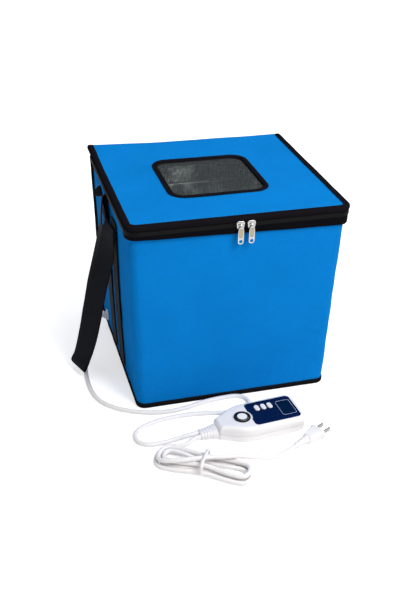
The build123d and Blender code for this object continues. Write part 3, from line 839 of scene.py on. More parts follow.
@dataclass
class SoftBox:
    """The padded walls, their lining, the floor and the black bindings."""

    radius: float = 0.012
    lining: float = 0.0092
    tape: float = 0.0012
    bulge: float = 0.0022
    piping: float = 0.0042
    rows: int = 56
    low: Vector = field(default_factory=lambda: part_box("wall_fabric")[0])
    high: Vector = field(default_factory=lambda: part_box("wall_fabric")[1])
    foot: Vector = field(default_factory=lambda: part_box("base_fabric")[1])

    def __post_init__(self) -> None:
        """Work out the two plan outlines, at the foot and at the rim."""
        self.depth = 2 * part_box("back_fabric")[1].y
        self.top_loop = all_sides(2 * self.high.x, self.depth, self.radius)
        self.foot_loop = all_sides(2 * self.foot.x, self.depth, self.radius)

    def outline(self, offset, height: float) -> np.ndarray:
        """The tapered outline at a height: the foot's and the rim's, mixed by height."""
        share = height / self.high.z
        points = self.foot_loop.points * (1 - share) + self.top_loop.points * share
        return Loop(points, self.top_loop.normals).at(offset, height)

    def swell(self, height: float) -> np.ndarray:
        """How far the outer fabric stands out: fullest in the middle of each side, uneven all over."""
        share = height / self.high.z
        corner = 0.02
        x, y = np.abs(self.top_loop.points).T
        face = np.where(np.abs(self.top_loop.normals[:, 0]) > 0.5, y / (self.depth / 2), x / self.high.x)
        middle = np.clip(1 - face ** 4, 0, 1)
        run = self.top_loop.run
        uneven = 0.0011 * ripple(run, height, 0.16, 4)
        creases = 0.0005 * ripple(run, height, 0.045, 9)
        seam = 0.0004 * ripple(run, 0.0, 0.022, 6) * math.exp(-height / corner)
        near_foot, near_rim = min(1.0, share * 6), min(1.0, (1 - share) * 8)
        fade = math.sin(math.pi * near_foot / 2) * math.sin(math.pi * near_rim / 2)
        return self.bulge * math.sin(math.pi * share) * middle + (uneven + creases) * fade + seam

    def make_walls(self) -> None:
        """One padded wall all round: outer fabric up, over the rim, and down inside."""
        z0, z1 = self.low.z, self.high.z
        up = np.linspace(z0, z1 - 0.0012, self.rows)
        outer = [self.outline(self.swell(z) - 0.0001, z) for z in up]
        over = [self.outline(-0.0012, z1), self.outline(-self.lining + 0.0015, z1)]
        down = [self.outline(-self.lining + 0.0002, z) for z in np.linspace(z1 - 0.002, z0, 12)]
        walls = surface("padded_walls", np.stack(outer + over + down), "blue", wrap=(True, True))
        place_piece(walls, "root", "blue_fabric", "wall_fabric", "back_fabric", "foam_front", "foam_back",
                    "foam_left", "foam_right")
        sink(walls)

    def make_lining(self) -> None:
        """Foil lining: the inner outline with small crumples, and a crumpled floor sheet."""
        run = self.top_loop.run
        rows = []
        for z in np.linspace(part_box("base_liner")[1].z, self.high.z - 0.001, 90):
            crumple = 0.0011 * ripple(run, z, 0.03, 12, 14)
            crumple += 0.0008 * ripple(run, z, 0.012, 13, 12)
            rows.append(self.outline(-self.lining - 0.0014 + crumple, z))
        lining = surface("foil_lining", np.stack(rows), "foil", wrap=(False, True), thickness=0.0003)
        place_piece(lining, "root", "foil", "wall_liner")
        sink(lining)
        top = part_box("base_liner")[1]
        x, y = np.meshgrid(np.linspace(-top.x, top.x, 110), np.linspace(-top.y, top.y, 110))
        z = top.z - 0.0006 + 0.0006 * ripple(x, y, 0.025, 21, 12)
        floor = surface("floor_lining", np.stack([x, y, z], axis=-1), "foil", thickness=0.0004)
        place_piece(floor, "root", "foil", "base_liner", "base_foam", "base_board")
        self.make_flap("lining_flap_left", -0.128, 0.0625, 0.230, 0.0030, 51)
        self.make_flap("lining_flap_right", 0.0635, 0.134, 0.2315, 0.0018, 52)

    def make_flap(self, name: str, x0: float, x1: float, top: float, out: float, seed: int) -> None:
        """A smoother foil sheet sewn over the lower part of the back wall, its top edge folded."""
        x, z = np.meshgrid(np.linspace(x0, x1, 60), np.linspace(0.030, top, 60))
        back = self.depth / 2 - self.lining - 0.0026
        y = back - out * (0.5 + 0.5 * z / top) + 0.0005 * ripple(x, z, 0.035, seed, 12)
        flap = surface(name, np.stack([x, y, z], axis=-1), "foil_flat", thickness=0.0006)
        place_piece(flap, "root", "foil")
        sink(flap)
        edge = np.stack([x[-1], y[-1] - 0.0006, z[-1]], axis=-1)
        fold = tube(f"{name}_edge", edge, 0.0009, "foil_bright")
        place_piece(fold, "root", "foil")
        sink(fold)

    def make_underside(self) -> None:
        """Bottom fabric: a flat sheet with a turned-up rounded edge, closed below and above."""
        section = ((0.12, 0.0), (0.004, 0.0), (0.0006, 0.0004), (0.0, 0.001), (0.004, 0.0016),
                   (0.12, 0.0016))
        rows = [self.foot_loop.at(-inset, z) for inset, z in section]
        grid = np.stack([rows[0] * [0, 0, 1]] + rows + [rows[-1] * [0, 0, 1]])
        sheet = surface("underside", grid, "blue", wrap=(False, True), weld=True)
        place_piece(sheet, "root", "blue_fabric", "base_fabric")

    def make_bindings(self) -> None:
        """Bound foot, rear corner strips and the bound rim under the zip."""
        z0, z1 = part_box("base_binding")[0].z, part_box("base_binding")[1].z
        t = self.tape
        mid = (z0 + z1) / 2
        profile = [(-0.0006, z0), (t * 0.8, z0), (t * 1.5, z0 + 0.0015), (t * 1.7, mid),
                   (t * 1.4, z1 - 0.001), (t * 0.7, z1 + 0.0002), (-0.0004, z1 - 0.0006), (-0.0006, mid)]
        foot = band("foot_binding", self.foot_loop, profile, "binding", True, pucker=0.0002, seed=3)
        place_piece(foot, "root", "binding", "base_binding")
        sewn = stitches("foot_stitches", self.foot_loop.at(t * 1.5, z1 - 0.0016))
        place_piece(sewn, "root", "binding")
        for side in Side:
            self.make_corner(side)
        z, inner = self.high.z, -self.lining
        rim = [(0.0003, z - 0.009), (0.0016, z - 0.008), (0.0016, z - 0.002), (0.0, z + 0.0006),
               (inner, z + 0.0006), (inner - 0.0026, z - 0.002), (inner - 0.0024, z - 0.011),
               (inner - 0.001, z - 0.012), (inner + 0.0004, z - 0.004), (-0.0012, z - 0.004)]
        bound = band("rim_binding", self.top_loop, rim, "binding", True, pucker=0.00012, seed=5)
        place_piece(bound, "rim", "binding")

    def make_corner(self, side: Side) -> None:
        """A strip of tape sewn up one rear corner, round the corner's arc."""
        x = self.top_loop.points[:, 0] * side.value
        y = self.top_loop.points[:, 1]
        near = (y > self.depth / 2 - self.radius - 0.008) & (x > self.high.x - self.radius - 0.006)
        chosen = np.nonzero(near)[0]
        rows = []
        for z in np.linspace(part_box("corner_bindings")[0].z, self.high.z - 0.001, 40):
            swell = self.swell(z)
            inner = self.outline(swell - 0.0003, z)[chosen]
            share = np.linspace(0, math.pi, len(chosen))
            proud = np.zeros(len(swell))
            proud[chosen] = 0.0007 + self.piping * np.sin(share) ** 0.8
            outer = self.outline(swell + proud, z)[chosen]
            rows.append(np.concatenate([outer, inner[::-1]]))
        strip = surface(f"corner_strip_{side.word}", np.stack(rows), "binding", wrap=(False, True),
                        cap=True)
        nodes = ("corner_bindings",) if side is Side.LEFT else ()
        place_piece(strip, "root", "binding", *nodes)
        sink(strip)

    def build(self) -> None:
        """Make every piece of the box."""
        self.make_walls()
        self.make_lining()
        self.make_underside()
        self.make_bindings()
        dress("mat", "heating_mat")
        dress("soft_white", "lead_grommet")


# ---------------------------------------------------------------- lid


@dataclass
class Lid:
    """The padded lid, its bound edge, its window and its foil underside."""

    radius: float = 0.014
    rear_radius: float = 0.005
    window_radius: float = 0.017
    tape: float = 0.0012
    cover: float = 0.0052
    border: float = 0.0098
    sag: float = 0.0016
    spring: float = 0.0048
    low: Vector = field(default_factory=lambda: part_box("lid_fabric")[0])
    high: Vector = field(default_factory=lambda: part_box("lid_fabric")[1])

    def __post_init__(self) -> None:
        """Work out the lid's and the window's outlines."""
        self.edge = all_sides(2 * self.high.x, 2 * self.high.y, self.radius, rear=self.rear_radius)
        low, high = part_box("window_binding")
        rim, inset = 0.008, 0.002
        self.window_mid = ((low.x + high.x) / 2, (low.y + high.y) / 2)
        size = (high.x - low.x - 2 * rim, high.y - low.y - 2 * rim)
        self.window = all_sides(*size, self.window_radius, self.window_mid)
        self.body_loop = three_sides(2 * (self.high.x - inset), 2 * (self.high.y - inset), 0.012,
                                     self.high.y - 0.001)

    def ring(self, share: float, height: float, uneven: float = 0.0) -> np.ndarray:
        """A closed line between the window (0) and the lid's edge (1), with uneven height."""
        points = self.window.points * (1 - share) + self.edge.points * share
        level = height + uneven * ripple(points[:, 0], points[:, 1], 0.12, 31)
        if uneven:
            level = level - self.sag * math.sin(math.pi * share)
        return lying(points, level)

    def make_pad(self) -> list:
        """The padded panel: top fabric from the window out, over the edge and back beneath."""
        top, bottom = self.high.z, self.low.z + 0.0006
        shares = np.linspace(0.012, 0.988, 26)
        above = [self.ring(s, top, 0.0005) for s in shares]
        turned_over = ((0.998, top - 0.0008), (1.0, top - 0.0028), (1.0, bottom + 0.002))
        rounded = [self.ring(share, z) for share, z in turned_over]
        below = [self.ring(s, bottom) for s in shares[::-1]]
        inside = [self.ring(0.006, bottom + 0.001), self.ring(0.006, top - 0.001)]
        pad = surface("lid_pad", np.stack(above + rounded + below + inside), "blue", wrap=(True, True))
        place_piece(pad, "lid", "blue_fabric", "lid_fabric", "lid_foam")
        rows = []
        for s in np.linspace(0.03, 0.985, 44):
            points = self.ring(s, self.low.z + 0.0003)
            points[:, 2] -= 0.0005 * (1 + ripple(points[:, 0], points[:, 1], 0.022, 33, 12)) / 2
            rows.append(points)
        foil = surface("lid_lining", np.stack(rows), "foil", wrap=(False, True), thickness=0.0003)
        place_piece(foil, "lid", "foil", "lid_liner")
        return [pad, foil]

    def make_window(self) -> list:
        """Clear film, slack in slow waves, and the tape folded round its opening."""
        low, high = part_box("window_film")
        z = (low.z + high.z) / 2
        centre = np.array(self.window_mid)
        rows = []
        for s in np.linspace(0.0, 1.0, 30):
            points = centre + (self.window.points - centre) * s * 1.05
            level = z + 0.0007 * ripple(points[:, 0], points[:, 1], 0.075, 41) * (1 - s ** 3)
            rows.append(lying(points, level))
        film = surface("window_sheet", np.stack(rows), "film", wrap=(False, True), weld=True)
        film.modifiers.new("thickness", "SOLIDIFY").thickness = 0.0004
        place_piece(film, "lid", "clear_film", "window_film")
        top = self.high.z
        t = self.tape
        floor = self.low.z + 0.0004
        profile = [(-0.0003, floor), (-0.0009, floor + 0.0002), (-0.0010, top - 0.0004),
                   (0.0004, top + t), (0.002, top + 1.5 * t), (0.0045, top + 1.45 * t),
                   (0.0068, top + 1.2 * t), (0.0079, top + 0.3 * t), (0.0076, top - 0.0003),
                   (0.004, top - 0.0006), (0.0010, top - 0.0024)]
        frame_tape = band("window_tape", self.window, profile, "binding", True, pucker=0.00016, seed=8)
        place_piece(frame_tape, "lid", "binding", "window_binding")
        sewn = stitches("window_stitches", self.window.at(0.0064, top + 1.42 * t))
        place_piece(sewn, "lid", "binding")
        return [film, frame_tape, sewn]

    def make_edge(self) -> list:
        """Tape folded over the lid's front and side edges."""
        top = self.high.z
        t = self.tape
        out, side_low = self.cover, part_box("lid_binding")[0].z
        back = out - self.border
        profile = [(back, top + 0.0001), (back + 0.0006, top + 0.9 * t), (back + 0.003, top + 1.25 * t),
                   (out - 0.003, top + 1.4 * t), (out - 0.0006, top + 0.7 * t),
                   (out + 0.0004, top - 0.0012), (out + 0.0005, side_low + 0.002),
                   (out - 0.0002, side_low - 0.0006), (out - 0.0014, side_low),
                   (out - 0.0016, top - 0.0016), (back + 0.004, top - 0.0002)]
        edge = band("lid_tape", self.body_loop, profile, "binding", False, pucker=0.00028, seed=11)
        place_piece(edge, "lid", "binding", "lid_binding")
        sewn = stitches("lid_stitches", self.body_loop.at(back + 0.0022, top + 1.32 * t))
        place_piece(sewn, "lid", "binding")
        return [edge, sewn]

    def lift_corner(self, piece: Piece) -> None:
        """Raise the lid's rear left corner a little, as the stiff panel springs up there."""
        spots = np.empty(3 * len(piece.data.vertices), dtype=np.float32)
        piece.data.vertices.foreach_get("co", spots)
        spots = spots.reshape(-1, 3)
        share = np.clip(-spots[:, 0] / self.high.x, 0, 1) * np.clip(spots[:, 1] / self.high.y, 0, 1)
        spots[:, 2] += self.spring * share ** 2
        piece.data.vertices.foreach_set("co", spots.ravel())

    def build(self) -> None:
        """Make every piece of the lid."""
        pieces = self.make_pad() + self.make_window() + self.make_edge()
        for piece in pieces:
            self.lift_corner(piece)


# ---------------------------------------------------------------- zip


@dataclass
class Zip:
    """Both tapes, the coils, and the hinge strip at the back."""

    pitch: float = 0.0024
    tape_out: float = 0.0036
    band_end: float = 0.012
    wall: Vector = field(default_factory=lambda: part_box("wall_fabric")[1])

    def __post_init__(self) -> None:
        """Work out the line that the zip follows."""
        self.depth = 2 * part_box("back_fabric")[1].y
        low_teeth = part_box("lower_teeth")
        self.end_y = low_teeth[1].y
        self.loop = three_sides(2 * self.wall.x, self.depth, 0.012, self.end_y)
        self.low_z = low_teeth[0].z
        self.mid_z = (low_teeth[1].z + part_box("upper_teeth")[0].z) / 2

    def make_tapes(self) -> None:
        """Lower tape, deep on the front and narrow on the sides, and the upper tape."""
        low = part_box("rim_tape")[0].z
        run = self.loop.run
        total = run[-1]
        side_len = self.end_y + self.depth / 2
        from_end = np.minimum(run, total - run)
        rise = np.clip((side_len - self.band_end - from_end) / 0.010, 0.0, 1.0)
        across = self.loop.points[:, 0] / self.wall.x
        drop = low + 0.0068 - 0.0036 * across + 0.006 * (1 - np.sqrt(1 - rise ** 2))
        drop = drop + 0.0005 * ripple(run, 0.0, 0.07, 17)
        out = self.tape_out
        upper = self.low_z + 0.0014
        belly = 0.0009 * np.sin(np.clip(from_end / side_len, 0, 1) * math.pi)
        rows = []
        section = ((0.0004, 0.0), (0.002, -0.02), (out - 0.0004, 0.02), (out + 0.0004, 0.12),
                   (out + 0.0006, 0.5), (out + 0.0004, 0.9), (out + 0.0002, 1.0), (out - 0.0004, 1.0),
                   (out - 0.0008, 0.9), (out - 0.0012, 0.5), (0.0006, 0.3))
        for offset, share in section:
            level = drop + (upper - drop) * share
            wave = 0.00018 * ripple(run, level, 0.03, 19)
            full = 4 * max(share, 0) * (1 - max(share, 0)) * 0.5
            rows.append(self.loop.at(offset + belly * full + wave, level))
        tape = surface("lower_tape", np.stack(rows), "tape", wrap=(True, False), cap=True, subdivide=1)
        place_piece(tape, "rim", "zip_tape", "rim_tape")
        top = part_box("upper_tape")[1].z
        start = self.mid_z + 0.0018
        profile = [(out - 0.0004, start), (out + 0.0003, start), (out + 0.0003, top - 0.001), (0.003, top),
                   (0.0022, top - 0.001), (0.0022, top - 0.0045), (out - 0.0004, start + 0.002)]
        above = band("upper_tape_strip", self.loop, profile, "tape", False, subdivide=0)
        place_piece(above, "lid", "zip_tape", "upper_tape")

    def make_coil(self, name: str, z: float, lean: float, body: str, node_name: str) -> None:
        """One row of coil teeth: small rounded blocks, a pitch apart, square to the tape."""
        run = self.loop.run
        where = np.arange(self.pitch, run[-1] - self.pitch, self.pitch) + lean
        line = self.loop.at(self.tape_out, z)
        centre = sample(where, run, line)
        normal = unit(lying(sample(where, run, self.loop.normals), 0.0))
        along = np.stack([-normal[:, 1], normal[:, 0], where * 0], axis=-1)
        up = np.array([0.0, 0.0, 1.0])
        square = [(-1, -1), (1, -1), (1, 1), (-1, 1)]
        tooth = [0.0008, 0.00125, 0.0018]
        shape = np.array([(x, y, z) for z in (-1, 1) for x, y in square]) * tooth
        points = (centre[:, None] + along[:, None] * shape[None, :, :1]
                  + normal[:, None] * shape[None, :, 1:2] + up * shape[None, :, 2:])
        faces = np.array([(0, 3, 2, 1), (4, 5, 6, 7), (0, 1, 5, 4), (1, 2, 6, 5), (2, 3, 7, 6),
                          (3, 0, 4, 7)])
        quads = (np.arange(len(where)) * 8)[:, None, None] + faces[None]
        mesh = bpy.data.meshes.new(name)
        mesh.from_pydata(points.reshape(-1, 3).tolist(), [], quads.reshape(-1, 4).tolist())
        tidy_mesh(mesh, False, False, True)
        coil = link(name, mesh, "coil")
        add_bevel(coil, 0.0005, 2)
        place_piece(coil, body, "zip_tape", node_name)

    def make_hinge(self) -> None:
        """The cloth hinge at the back: a strip from the rim to the lid's edge."""
        low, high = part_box("hinge_strip")
        x = np.linspace(low.x, high.x, 60)
        foot, middle = low.z - 0.004, (low.z + high.z) / 2
        section = ((low.y, foot), (low.y - 0.0004, middle), (low.y, high.z),
                   (high.y, high.z), (high.y, middle), (high.y, foot))
        rows = [np.stack([x, np.full_like(x, y), np.full_like(x, z)], axis=-1) for y, z in section]
        strip = surface("hinge_cloth", np.stack(rows), "blue", wrap=(True, False), cap=True)
        place_piece(strip, "rim", "binding", "hinge_strip")

    def build(self) -> None:
        """Make every fixed piece of the zip."""
        self.make_tapes()
        self.make_coil("lower_coil", self.mid_z - 0.0016, 0.0, "rim", "lower_teeth")
        self.make_coil("upper_coil", self.mid_z + 0.0016, self.pitch / 2, "lid", "upper_teeth")
        self.make_hinge()


@dataclass
class Slider:
    """A zip slider with its crown, and the pull tab that hangs from it."""

    side: Side
    wire: float = 0.0009
    web: float = 0.001

    def outline(self, width: float, height: float, waist: float, count: int = 48) -> np.ndarray:
        """A superellipse, drawn in at its foot: width shrinks from top to bottom by the waist."""
        angle = full_turn(count)
        x, z = squared(np.cos(angle), 0.5), squared(np.sin(angle), 0.5)
        return np.stack([x * width / 2 * (1 - waist * (1 - z) / 2), z * height / 2], axis=-1)

    def plate(self, name: str, outline: np.ndarray, y_front: float, y_back: float, material: str,
              dome: float = 0.0) -> Piece:
        """A flat plate in the XZ plane: its outline drawn in to the middle on both faces."""
        middle = outline.mean(0)
        section = ((0.0, y_front - dome), (0.55, y_front - dome * 0.75), (0.94, y_front),
                   (1.0, y_front + 0.0003), (1.0, y_back - 0.0002), (0.94, y_back), (0.0, y_back))
        rows = [upright(middle + (outline - middle) * share, y) for share, y in section]
        return surface(name, np.stack(rows), material, wrap=(False, True), weld=True)

    def build(self) -> None:
        """Make the slider and its pull."""
        word = self.side.word
        low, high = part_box(f"slider_{word}")
        pull_low, pull_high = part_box(f"pull_{word}")
        x, z = (low.x + high.x) / 2, (low.z + high.z) / 2
        pin_y = (pull_low.y + pull_high.y) / 2
        pin_z = pull_high.z - (pull_high.y - pull_low.y) / 2
        face_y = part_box("lid_binding")[0].y - 0.0003
        outline = self.outline(high.x - low.x, high.z - low.z, 0.22) + [x, z]
        body = self.plate(f"slider_{word}_plate", outline, face_y - 0.0013, face_y, "nickel", dome=0.0004)
        back = self.plate(f"slider_{word}_back", outline, high.y - 0.0008, high.y, "nickel")
        web_z = (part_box("lower_teeth")[1].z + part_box("upper_teeth")[0].z) / 2
        web_outline = self.outline(2 * ((high.x - low.x) / 2 - 0.001), self.web, 0.0) + [x, web_z]
        web = self.plate(f"slider_{word}_web", web_outline, face_y, high.y, "nickel")
        crown = self.crown(f"slider_{word}_crown", x, pin_y, pin_z, face_y)
        place_piece(body, f"slider_{word}", "zip_metal", f"slider_{word}")
        for piece in (back, web, crown):
            place_piece(piece, f"slider_{word}", "zip_metal")
        self.make_pull(word, x, pin_y, pin_z, pull_low)

    def crown(self, name: str, x: float, pin_y: float, pin_z: float, face_y: float) -> Piece:
        """An arch of round wire across the slider: the pin and its two legs into the plate."""
        half = 0.0032
        corner = 0.0011
        angle = np.linspace(0, math.pi / 2, 7)
        right_x = x + half - corner + corner * np.sin(angle)
        right_y = pin_y + corner - corner * np.cos(angle)
        legs = np.array([[x + half, face_y]])
        path = np.concatenate([np.stack([right_x, right_y], axis=-1), legs])
        path = np.concatenate([path[::-1] * [-1, 1] + [2 * x, 0], path])
        return tube(name, lying(path, pin_z), self.wire, "nickel")

    def make_pull(self, word: str, x: float, pin_y: float, pin_z: float, low: Vector) -> None:
        """The pull: an eye, a stadium plate with a ring hole at its foot, and a sanded panel."""
        half_w = 0.0042
        top, foot = pin_z - 0.0022, low.z + half_w
        hole_r = 0.0024
        angle = full_turn(64)
        cos, sin = np.cos(angle), np.sin(angle)
        reach = np.where(sin > 0, (top - foot) * np.abs(sin) ** 0.35, half_w * sin)
        outer = np.stack([x + half_w * squared(cos, 0.7), foot + reach], axis=-1)
        hole = np.stack([x + hole_r * cos, foot + hole_r * sin], axis=-1)
        half_t = 0.0008
        near, far = pin_y - half_t, pin_y + half_t
        rows = [upright(ring, y) for ring, y in ((hole, near), (hole, far), (outer, far), (outer, near))]
        plate = surface(f"pull_{word}_plate", np.stack(rows), "nickel", wrap=(True, True))
        add_bevel(plate, 0.0003, 3)
        place_piece(plate, f"pull_{word}", "zip_metal", f"pull_{word}")
        panel_z = (top + foot + 0.0035) / 2
        outline = self.outline(2 * half_w - 0.0026, (top - foot) - 0.0072, 0.0, 40) + [x, panel_z]
        panel = self.plate(f"pull_{word}_panel", outline, near - 0.00035, pin_y, "champagne")
        place_piece(panel, f"pull_{word}", "zip_metal")
        eye_r = 0.00155
        angle = full_turn(32)
        line = np.stack([np.full(32, x), pin_y + eye_r * np.cos(angle), pin_z + eye_r * np.sin(angle)],
                        axis=-1)
        eye = tube(f"pull_{word}_eye", line, 0.00055, "nickel", closed=True, flat=3.2)
        place_piece(eye, f"pull_{word}", "zip_metal")


def tube(name: str, line: np.ndarray, radius: float, material: str, closed: bool = False,
         flat: float = 1.0, sides: int = 14) -> Piece:
    """A round wire along a line; flat widens its section along the line's own normal.

    The section turns with the line: one axis is the cross product of the line's direction with a
    fixed vector, the other is square to both.
    """
    along = np.gradient(line, axis=0)
    if closed:
        along = np.roll(line, -1, axis=0) - np.roll(line, 1, axis=0)
    along = unit(along)
    spread = line.max(0) - line.min(0)
    fixed = np.eye(3)[int(np.argmin(spread))]
    first = unit(np.cross(along, fixed))
    second = np.cross(along, first)
    angle = full_turn(sides)
    grid = (line[None] + first[None] * (radius * np.cos(angle))[:, None, None]
            + second[None] * (radius * flat * np.sin(angle))[:, None, None])
    return surface(name, grid, material, wrap=(True, closed), cap=not closed)


# ---------------------------------------------------------------- carry handles


@dataclass
class Handle:
    """Webbing strips sewn up one side and the loop that hangs from them."""

    side: Side
    width: float = 0.038
    thickness: float = 0.0019
    foot_half: float = 0.146
    rim_half: float = 0.156
    wall_h: float = 0.2874
    left_reach: float = 0.216
    right_reach: float = 0.188

    def wall_x(self, z: float) -> float:
        """How far out the wall stands at a height."""
        return self.foot_half + (self.rim_half - self.foot_half) * z / self.wall_h

    def placed(self, stations: list) -> list:
        """Left-hand stations turned over for the right, where the loop hangs nearer the wall."""
        if self.side is Side.LEFT:
            return stations
        near = 0.1635
        share = (self.right_reach - near) / (self.left_reach - near)
        return [((near + (-x - near) * (share if -x > near else 1.0), y, z), (-across, *rest))
                for (x, y, z), (across, *rest) in stations]

    def strips(self) -> None:
        """Two strips flat on the wall, from near the foot to below the rim."""
        word = self.side.word
        for part, y in (("front", -0.045), ("back", 0.016)):
            stations = []
            for z in (0.018, 0.08, 0.14, 0.20, 0.262):
                bulge = 0.0022 * math.sin(math.pi * z / self.wall_h) * 0.96
                stations.append(((-self.wall_x(z) - bulge - 0.0016, y, z), (0, 1, 0)))
            strip = ribbon(f"webbing_{part}_{word}", self.placed(stations), self.width, self.thickness,
                           "webbing", 60)
            nodes = (f"webbing_{word}",) if part == "front" else ()
            place_piece(strip, "root", "webbing", *nodes)
            sink(strip)
            self.box_stitch(f"cross_stitch_{part}_{word}", y, 0.235)

    def box_stitch(self, name: str, y: float, z: float) -> None:
        """A sewn square with a cross in it where the loop meets its strip."""
        half = 0.014
        x = -self.wall_x(z) - 0.0045
        corners = np.array([(-1, -1), (1, -1), (1, 1), (-1, 1), (-1, -1), (1, 1), (1, -1), (-1, 1)]) * half
        share = np.linspace(0, len(corners) - 1, 260)
        spots = sample(share, np.arange(len(corners)), corners)
        sign = -self.side.value
        path = np.stack([np.full(len(spots), x * sign), y + spots[:, 0], z + spots[:, 1]], axis=-1)
        sewn = stitches(name, path)
        place_piece(sewn, "root", "webbing")
        sink(sewn)

    def loop(self) -> None:
        """The loop: off the front strip, out and down with a quarter twist, folded, and back up."""
        word = self.side.word
        points = (
            (-0.1594, -0.045, 0.2300, 90), (-0.1597, -0.045, 0.2430, 88), (-0.1622, -0.046, 0.2535, 82),
            (-0.1655, -0.046, 0.2455, 76), (-0.1668, -0.045, 0.2310, 70), (-0.1688, -0.0435, 0.2130, 63),
            (-0.1725, -0.042, 0.1940, 60), (-0.1790, -0.041, 0.1720, 55), (-0.1862, -0.040, 0.1390, 54),
            (-0.1912, -0.039, 0.1130, 52), (-0.2002, -0.037, 0.0685, 53), (-0.2102, -0.0355, 0.0320, 60),
            (-0.2184, -0.0350, 0.0145, 68), (-0.2162, -0.0340, 0.0105, 70), (-0.2138, -0.0330, 0.0145, 68),
            (-0.2045, -0.0310, 0.0450, 58), (-0.1925, -0.0300, 0.1000, 53), (-0.1835, -0.0260, 0.1500, 60),
            (-0.1735, -0.0140, 0.2000, 78), (-0.1680, -0.0010, 0.2400, 97), (-0.1650, 0.0060, 0.2640, 101),
            (-0.1632, 0.0090, 0.2770, 98), (-0.1612, 0.0130, 0.2660, 93), (-0.1596, 0.0160, 0.2500, 90),
            (-0.1594, 0.0160, 0.2380, 90),
        )
        stations = self.placed([((x, y, z), (math.cos(math.radians(t)), -math.sin(math.radians(t)), 0.0))
                                for x, y, z, t in points])
        strap = ribbon(f"carry_loop_{word}", stations, self.width, self.thickness, "webbing", 260)
        place_piece(strap, f"handle_{word}", "webbing", f"handle_{word}")
        sink(strap)

    def build(self) -> None:
        """Make the strips and the loop."""
        self.strips()
        self.loop()


# ---------------------------------------------------------------- controller


@dataclass
class Controller:
    """The hand controller: one smooth case round the CAD's panel, keys and button."""

    line: float = 0.0005

    def world(self, points: np.ndarray) -> np.ndarray:
        """Turn and move points from the controller's own plan to where it lies."""
        out = points.copy()
        out[..., 0], out[..., 1] = turned(CONTROLLER, CONTROLLER_TURN, points[..., 0], points[..., 1])
        return out

    def outline(self) -> np.ndarray:
        """The case in plan: square at the panel's end, drawn in smoothly to the neck."""
        half = np.array([
            (NECK_X, 0.0), (NECK_X, 0.0085), (-0.0638, 0.0130), (-0.0580, 0.0158), (-0.0500, 0.0200),
            (-0.0400, 0.0258), (-0.0290, 0.0300), (-0.0160, 0.0318), (0.0100, 0.0320), (0.0350, 0.0320),
            (0.0500, 0.0318), (0.0590, 0.0292), (0.0632, 0.0235), (0.0645, 0.0140), (0.0645, 0.0)])
        knots = running(half, 0.5)
        near = catmull(half, knots, np.linspace(0, knots[-1], 90))
        far = near[-2:0:-1] * [1, -1]
        return np.concatenate([near, far])

    def make_case(self) -> None:
        """One smooth case with rounded edges and a joint line, in place of its two shells."""
        plan = self.outline()
        ahead, behind = np.roll(plan, -1, axis=0), np.roll(plan, 1, axis=0)
        along = unit(ahead - behind)
        outward = np.stack([-along[:, 1], along[:, 0]], axis=-1)
        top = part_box("control_panel")[1].z - 0.0003
        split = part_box("controller_base")[1].z
        middle = np.array([0.004, 0.0])
        drop = 0.0015 * np.clip((-0.042 - plan[:, 0]) / 0.0225, 0, 1) ** 1.6
        section = ((0.0065, 0.0002), (0.0032, 0.0006), (0.0012, 0.0024), (0.0003, 0.0055), (0.0, 0.0085),
                   (0.0, split - 0.0006), (0.00045, split - 0.0002), (0.00045, split + 0.0002),
                   (0.0, split + 0.0006), (0.0, top - 0.0088), (0.0003, top - 0.0062),
                   (0.0011, top - 0.0036), (0.0026, top - 0.0014), (0.0044, top - 0.0003),
                   (0.0062, top))
        rows = []
        for inset, z in section:
            level = z - drop * max(0.0, (z - split) / (top - split))
            rows.append(lying(plan - outward * inset, level))
        for share in (0.75, 0.4, 0.0):
            flat = middle + (rows[-1][:, :2] - middle) * share
            rows.append(lying(flat, top - drop * share ** 2))
        foot = lying(np.repeat(middle[None], len(plan), 0), 0.0002)
        case = surface("controller_case", self.world(np.stack([foot] + rows)), "white",
                       wrap=(False, True), weld=True)
        place_piece(case, "root", "white_plastic", "controller_base", "controller_cover")

    def make_trim(self) -> None:
        """The black ring printed round the edge of the power button."""
        low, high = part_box("power_button")
        angle = full_turn(64)
        circle = np.stack([np.cos(angle), np.sin(angle)], axis=-1)
        centre = np.array([(low.x + high.x) / 2, (low.y + high.y) / 2])
        outer = (high.x - low.x) / 2 - 0.0008
        inner = outer - 0.0018
        rows = [lying(centre + circle * radius, high.z + lift)
                for radius, lift in ((inner, -0.0001), (inner, 0.0002), (outer, 0.0002), (outer, -0.0001))]
        trim = surface("power_trim", np.stack(rows), "black", wrap=(True, True))
        place_piece(trim, "power_button", "black_plastic")

    def printed_frame(self, name: str, loop: Loop, z: float) -> None:
        """A thin printed line along an outline on the panel."""
        proud = 0.00012
        section = ((0.0, 0.0), (0.0, proud), (self.line, proud), (self.line, 0.0))
        rows = [loop.at(offset, z + height) for offset, height in section]
        grid = self.world(np.stack(rows))
        made = surface(name, grid, "ink", wrap=(True, True))
        place_piece(made, "root", "navy_panel")

    def build(self) -> None:
        """Make the case, dress the nodes inside it, and add the ring and the printed line."""
        self.make_case()
        dress("keys", "power_button", "mode_button", "down_button", "up_button")
        for name, inner in (("navy", "control_panel"), ("lens", "display_window"),
                            ("black", "power_ring"), ("board", "circuit_board"),
                            ("steel", "controller_screws")):
            dress(name, inner)
        self.make_trim()
        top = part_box("control_panel")[1].z
        self.printed_frame("display_line", all_sides(0.0205, 0.0315, 0.0025, (0.043, 0.0), 10, 5), top)


# ---------------------------------------------------------------- cords


